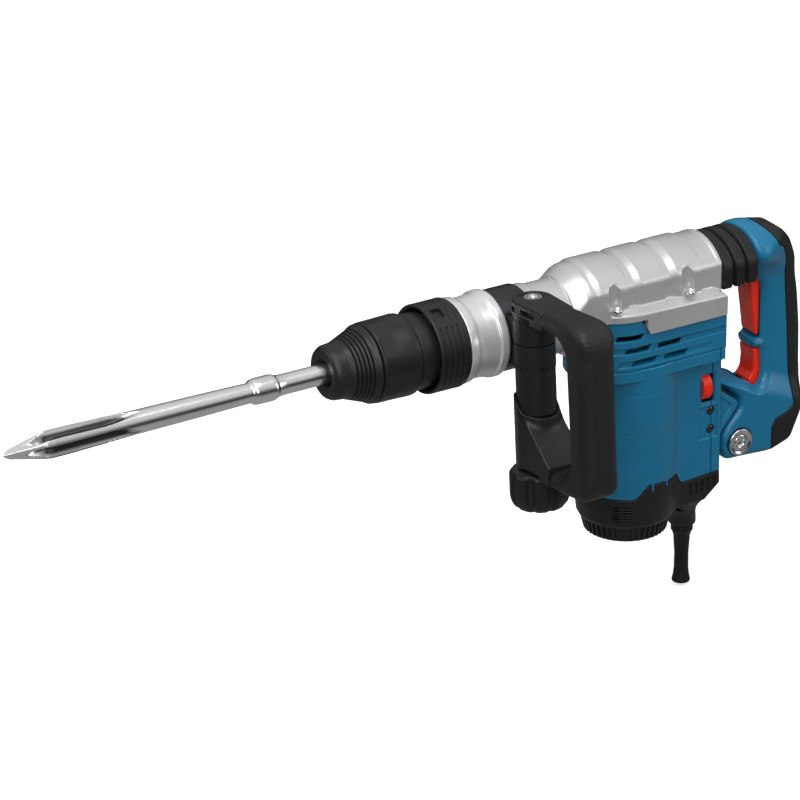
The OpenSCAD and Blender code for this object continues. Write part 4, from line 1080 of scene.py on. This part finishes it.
def frame_field(x, y, z):
    across = np.abs(x - ROD_X)
    r = length2(x - ROD_X, y - ROD_Y)
    # the plate over the hub runs out to the grip
    out = np.clip((-51 - y) / 36.0, 0, 1)
    plate = np.maximum(np.where(y > ROD_Y, r, across) - (18.4 - 2.2 * out), -88.0 - y)
    top = 42.4 - 0.4 * out
    skirt = np.where(y < -70.5, 25.4, 30.4)
    plate = smax(meet(plate + 2.4, between(z, 20, top) + 2.4) - 2.4, skirt - z, 0.8)
    crown = smax(length2(r, (z - 30) * 1.08) - 17.6, z - 44.2, 2.0)
    plate = smin(plate, np.maximum(crown, 30.4 - z), 3.0)
    for y0, y1 in ((-50, -43), (-77, -59)):
        window = np.maximum(rect(y, y0, y1, z, 32.6, 37.2), 13.5 - across)
        plate = smax(plate, -window, 0.6)
    hub = meet(r - 19.6 + 1.6, between(z, -108, -44) + 1.6) - 1.6
    gusset = outline(y, z, [(-51, -56), (-63, -66), (-97, -97.5), (-97, -112.5), (-84, -112.5), (-78.4, -108),
                            (-51, -108)])
    gusset = meet(gusset + 1.8, across - (18.6 + 0.6 * step(-z, 60, 95)) + 1.8) - 1.8
    gusset = np.maximum(gusset, -95.5 - y)
    lower = smin(hub, gusset, 5.0)
    # the cup is open towards the outside
    rim = -61.5 + 15.0 * step((y - ROD_Y + 8) / 20.0, 0.0, 1.0) + 4.5 * ((x - ROD_X) / 19.6) ** 2
    lower = smax(lower, z - rim, 1.2)
    shape = np.minimum(plate, lower)
    shape = smax(shape, -np.maximum(r - 8.6, 40.1 - z), 0.8)
    shape = np.maximum(shape, -np.maximum(r - 17.9, np.maximum(-59.4 - z, z - 20)))
    return np.maximum(shape, -(r - 5.1))


solid("side_handle_frame_piece", frame_field, (466, -97, -114), (511, -29, 46), 0.9, "black_shell",
      "side_handle", ["side_handle_frame"], tilt=True)

GRIP_OUTER = rounded_outline([(-40, 43.6), (-154.6, 43.4), (-154.2, -92.0), (-148.0, -113.0), (-124, -115.6),
                              (-40, -114.0)], 24.0, 8)
GRIP_INNER = rounded_outline([(-40, 25.6), (-110, 24.0), (-119.0, 14), (-121.0, -88), (-110, -99.5),
                              (-40, -99.5)],
                             13.0, 8)


def grip_field(x, y, z):
    loop = np.maximum(outline(y, z, GRIP_OUTER), -outline(y, z, GRIP_INNER))
    bar = step(-y, 100, 134) * step(-z, -36, -14) * step(z, -106, -84)
    arm = step(-y, 96, 132)
    wide = 16.4 + 1.8 * arm + 2.6 * step(-z, 60, 95) * (1 - arm)
    soft = 8.4 + 5.4 * bar
    shape = meet(loop + soft, np.abs(x - ROD_X) - wide + soft) - soft
    ends = np.where(z > -30, y + 86.5, y + 95.8)
    return smax(shape, ends, 1.6)


solid("side_handle_grip_piece", grip_field, (468, -157, -119), (509, -84, 46), 1.0, "soft_grip",
      "side_handle", ["side_handle_grip"], tilt=True)


def knob_scallops(along, turn, reach):
    wave = np.cos(8 * turn + 0.9)
    deep = np.clip(wave - 0.25, 0, 1) / 0.75
    run = 1 - step(along, -117.5, -112.5)
    return reach - 3.4 * np.sin(deep * math.pi / 2) * run * step(reach, 12, 24)


knob_line = [[-148.4, 0.01], [-148.4, 8], [-148.2, 14.5], [-147.4, 18.2], [-145.6, 21.4], [-142.8, 23.8],
             [-139.0, 25.3], [-135.5, 25.9]]
knob_line += [[-135.5 + i * 1.0, 26.0] for i in range(1, 19)]
knob_line += [[-115.5, 25.8], [-113.6, 24.6], [-112.0, 22.4], [-110.9, 19.5], [-110.6, 16.0], [-110.6, 5.4],
              [-140, 5.4], [-140, 0.01]]
turned("clamping_knob_piece", knob_line, "black_shell", "knob", ["clamping_knob"], 160, knob_scallops, 0.8,
       "z", (ROD_X, ROD_Y), tilt=True, closed=False, steps=2)


# ---------------------------------------------------------------- studio
def panel(name, place, target, width, height, power, colour=(1, 1, 1)):
    data = bpy.data.lights.new(name, "AREA")
    data.shape = "RECTANGLE"
    data.size, data.size_y = width, height
    data.energy = power
    data.color = colour
    obj = bpy.data.objects.new(name, data)
    obj.location = place
    obj.rotation_mode = "QUATERNION"
    obj.rotation_quaternion = (Vector(target) - Vector(place)).to_track_quat("-Z", "Y")
    scene.collection.objects.link(obj)


CENTRE = (0.5, 0, -0.05)
panel("key", (-1.2, -1.7, 2.0), CENTRE, 1.3, 1.0, 31)
panel("top", (0.2, -0.5, 2.5), CENTRE, 2.2, 0.7, 30)
panel("side", (2.4, -1.6, 0.7), CENTRE, 0.8, 1.5, 11)
panel("edge", (-2.0, 1.2, 1.0), CENTRE, 0.6, 1.4, 10)
panel("fill", (-0.9, -2.9, 1.1), CENTRE, 1.6, 1.0, 20)

world = bpy.data.worlds.new("studio")
scene.world = world
world.use_nodes = True
sky = world.node_tree
gradient = sky.nodes.new("ShaderNodeTexCoord")
split = sky.nodes.new("ShaderNodeSeparateXYZ")
sky.links.new(gradient.outputs["Generated"], split.inputs[0])
height = sky.nodes.new("ShaderNodeMapRange")
height.inputs["From Min"].default_value = -1.0
sky.links.new(split.outputs["Z"], height.inputs["Value"])
tone = sky.nodes.new("ShaderNodeValToRGB")
sky.links.new(height.outputs[0], tone.inputs[0])
# pale below as from the paper, dark round the horizon, pale overhead
SKY = [(0.0, 0.34), (0.30, 0.30), (0.38, 0.02), (0.55, 0.02), (0.70, 0.46), (0.90, 0.70)]
stops = tone.color_ramp.elements
for stop, (at, level) in zip(stops, (SKY[0], SKY[-1])):
    stop.position = at
    stop.color = (level, level, level, 1)
for at, level in SKY[1:-1]:
    stops.new(at).color = (level, level, level, 1)
sky.links.new(tone.outputs[0], sky.nodes["Background"].inputs["Color"])
sky.nodes["Background"].inputs["Strength"].default_value = 0.9
scene.view_settings.view_transform = "Standard"
scene.view_settings.look = "None"

floor_mesh = bpy.data.meshes.new("floor")
FLOOR_Z = float(cad_box[0].z) - 0.004
floor_mesh.from_pydata([(-9, -9, FLOOR_Z), (9, -9, FLOOR_Z), (9, 12, FLOOR_Z), (-9, 12, FLOOR_Z)], [],
                       [(0, 1, 2, 3)])
floor = bpy.data.objects.new("floor", floor_mesh)
scene.collection.objects.link(floor)
paper = Nodes("paper")
floor_mesh.materials.append(paper.out(
    Base_Color=paper.ramp(paper.noise(3, 3), [(0.3, (0.84, 0.84, 0.84)), (0.7, (0.87, 0.87, 0.87))]),
    Roughness=0.9, Emission_Color=(1, 1, 1, 1), Emission_Strength=0.60,
))
# the floor's glow only makes the backdrop pale, and doesn't light the tool
floor.visible_diffuse = False
floor.visible_glossy = False
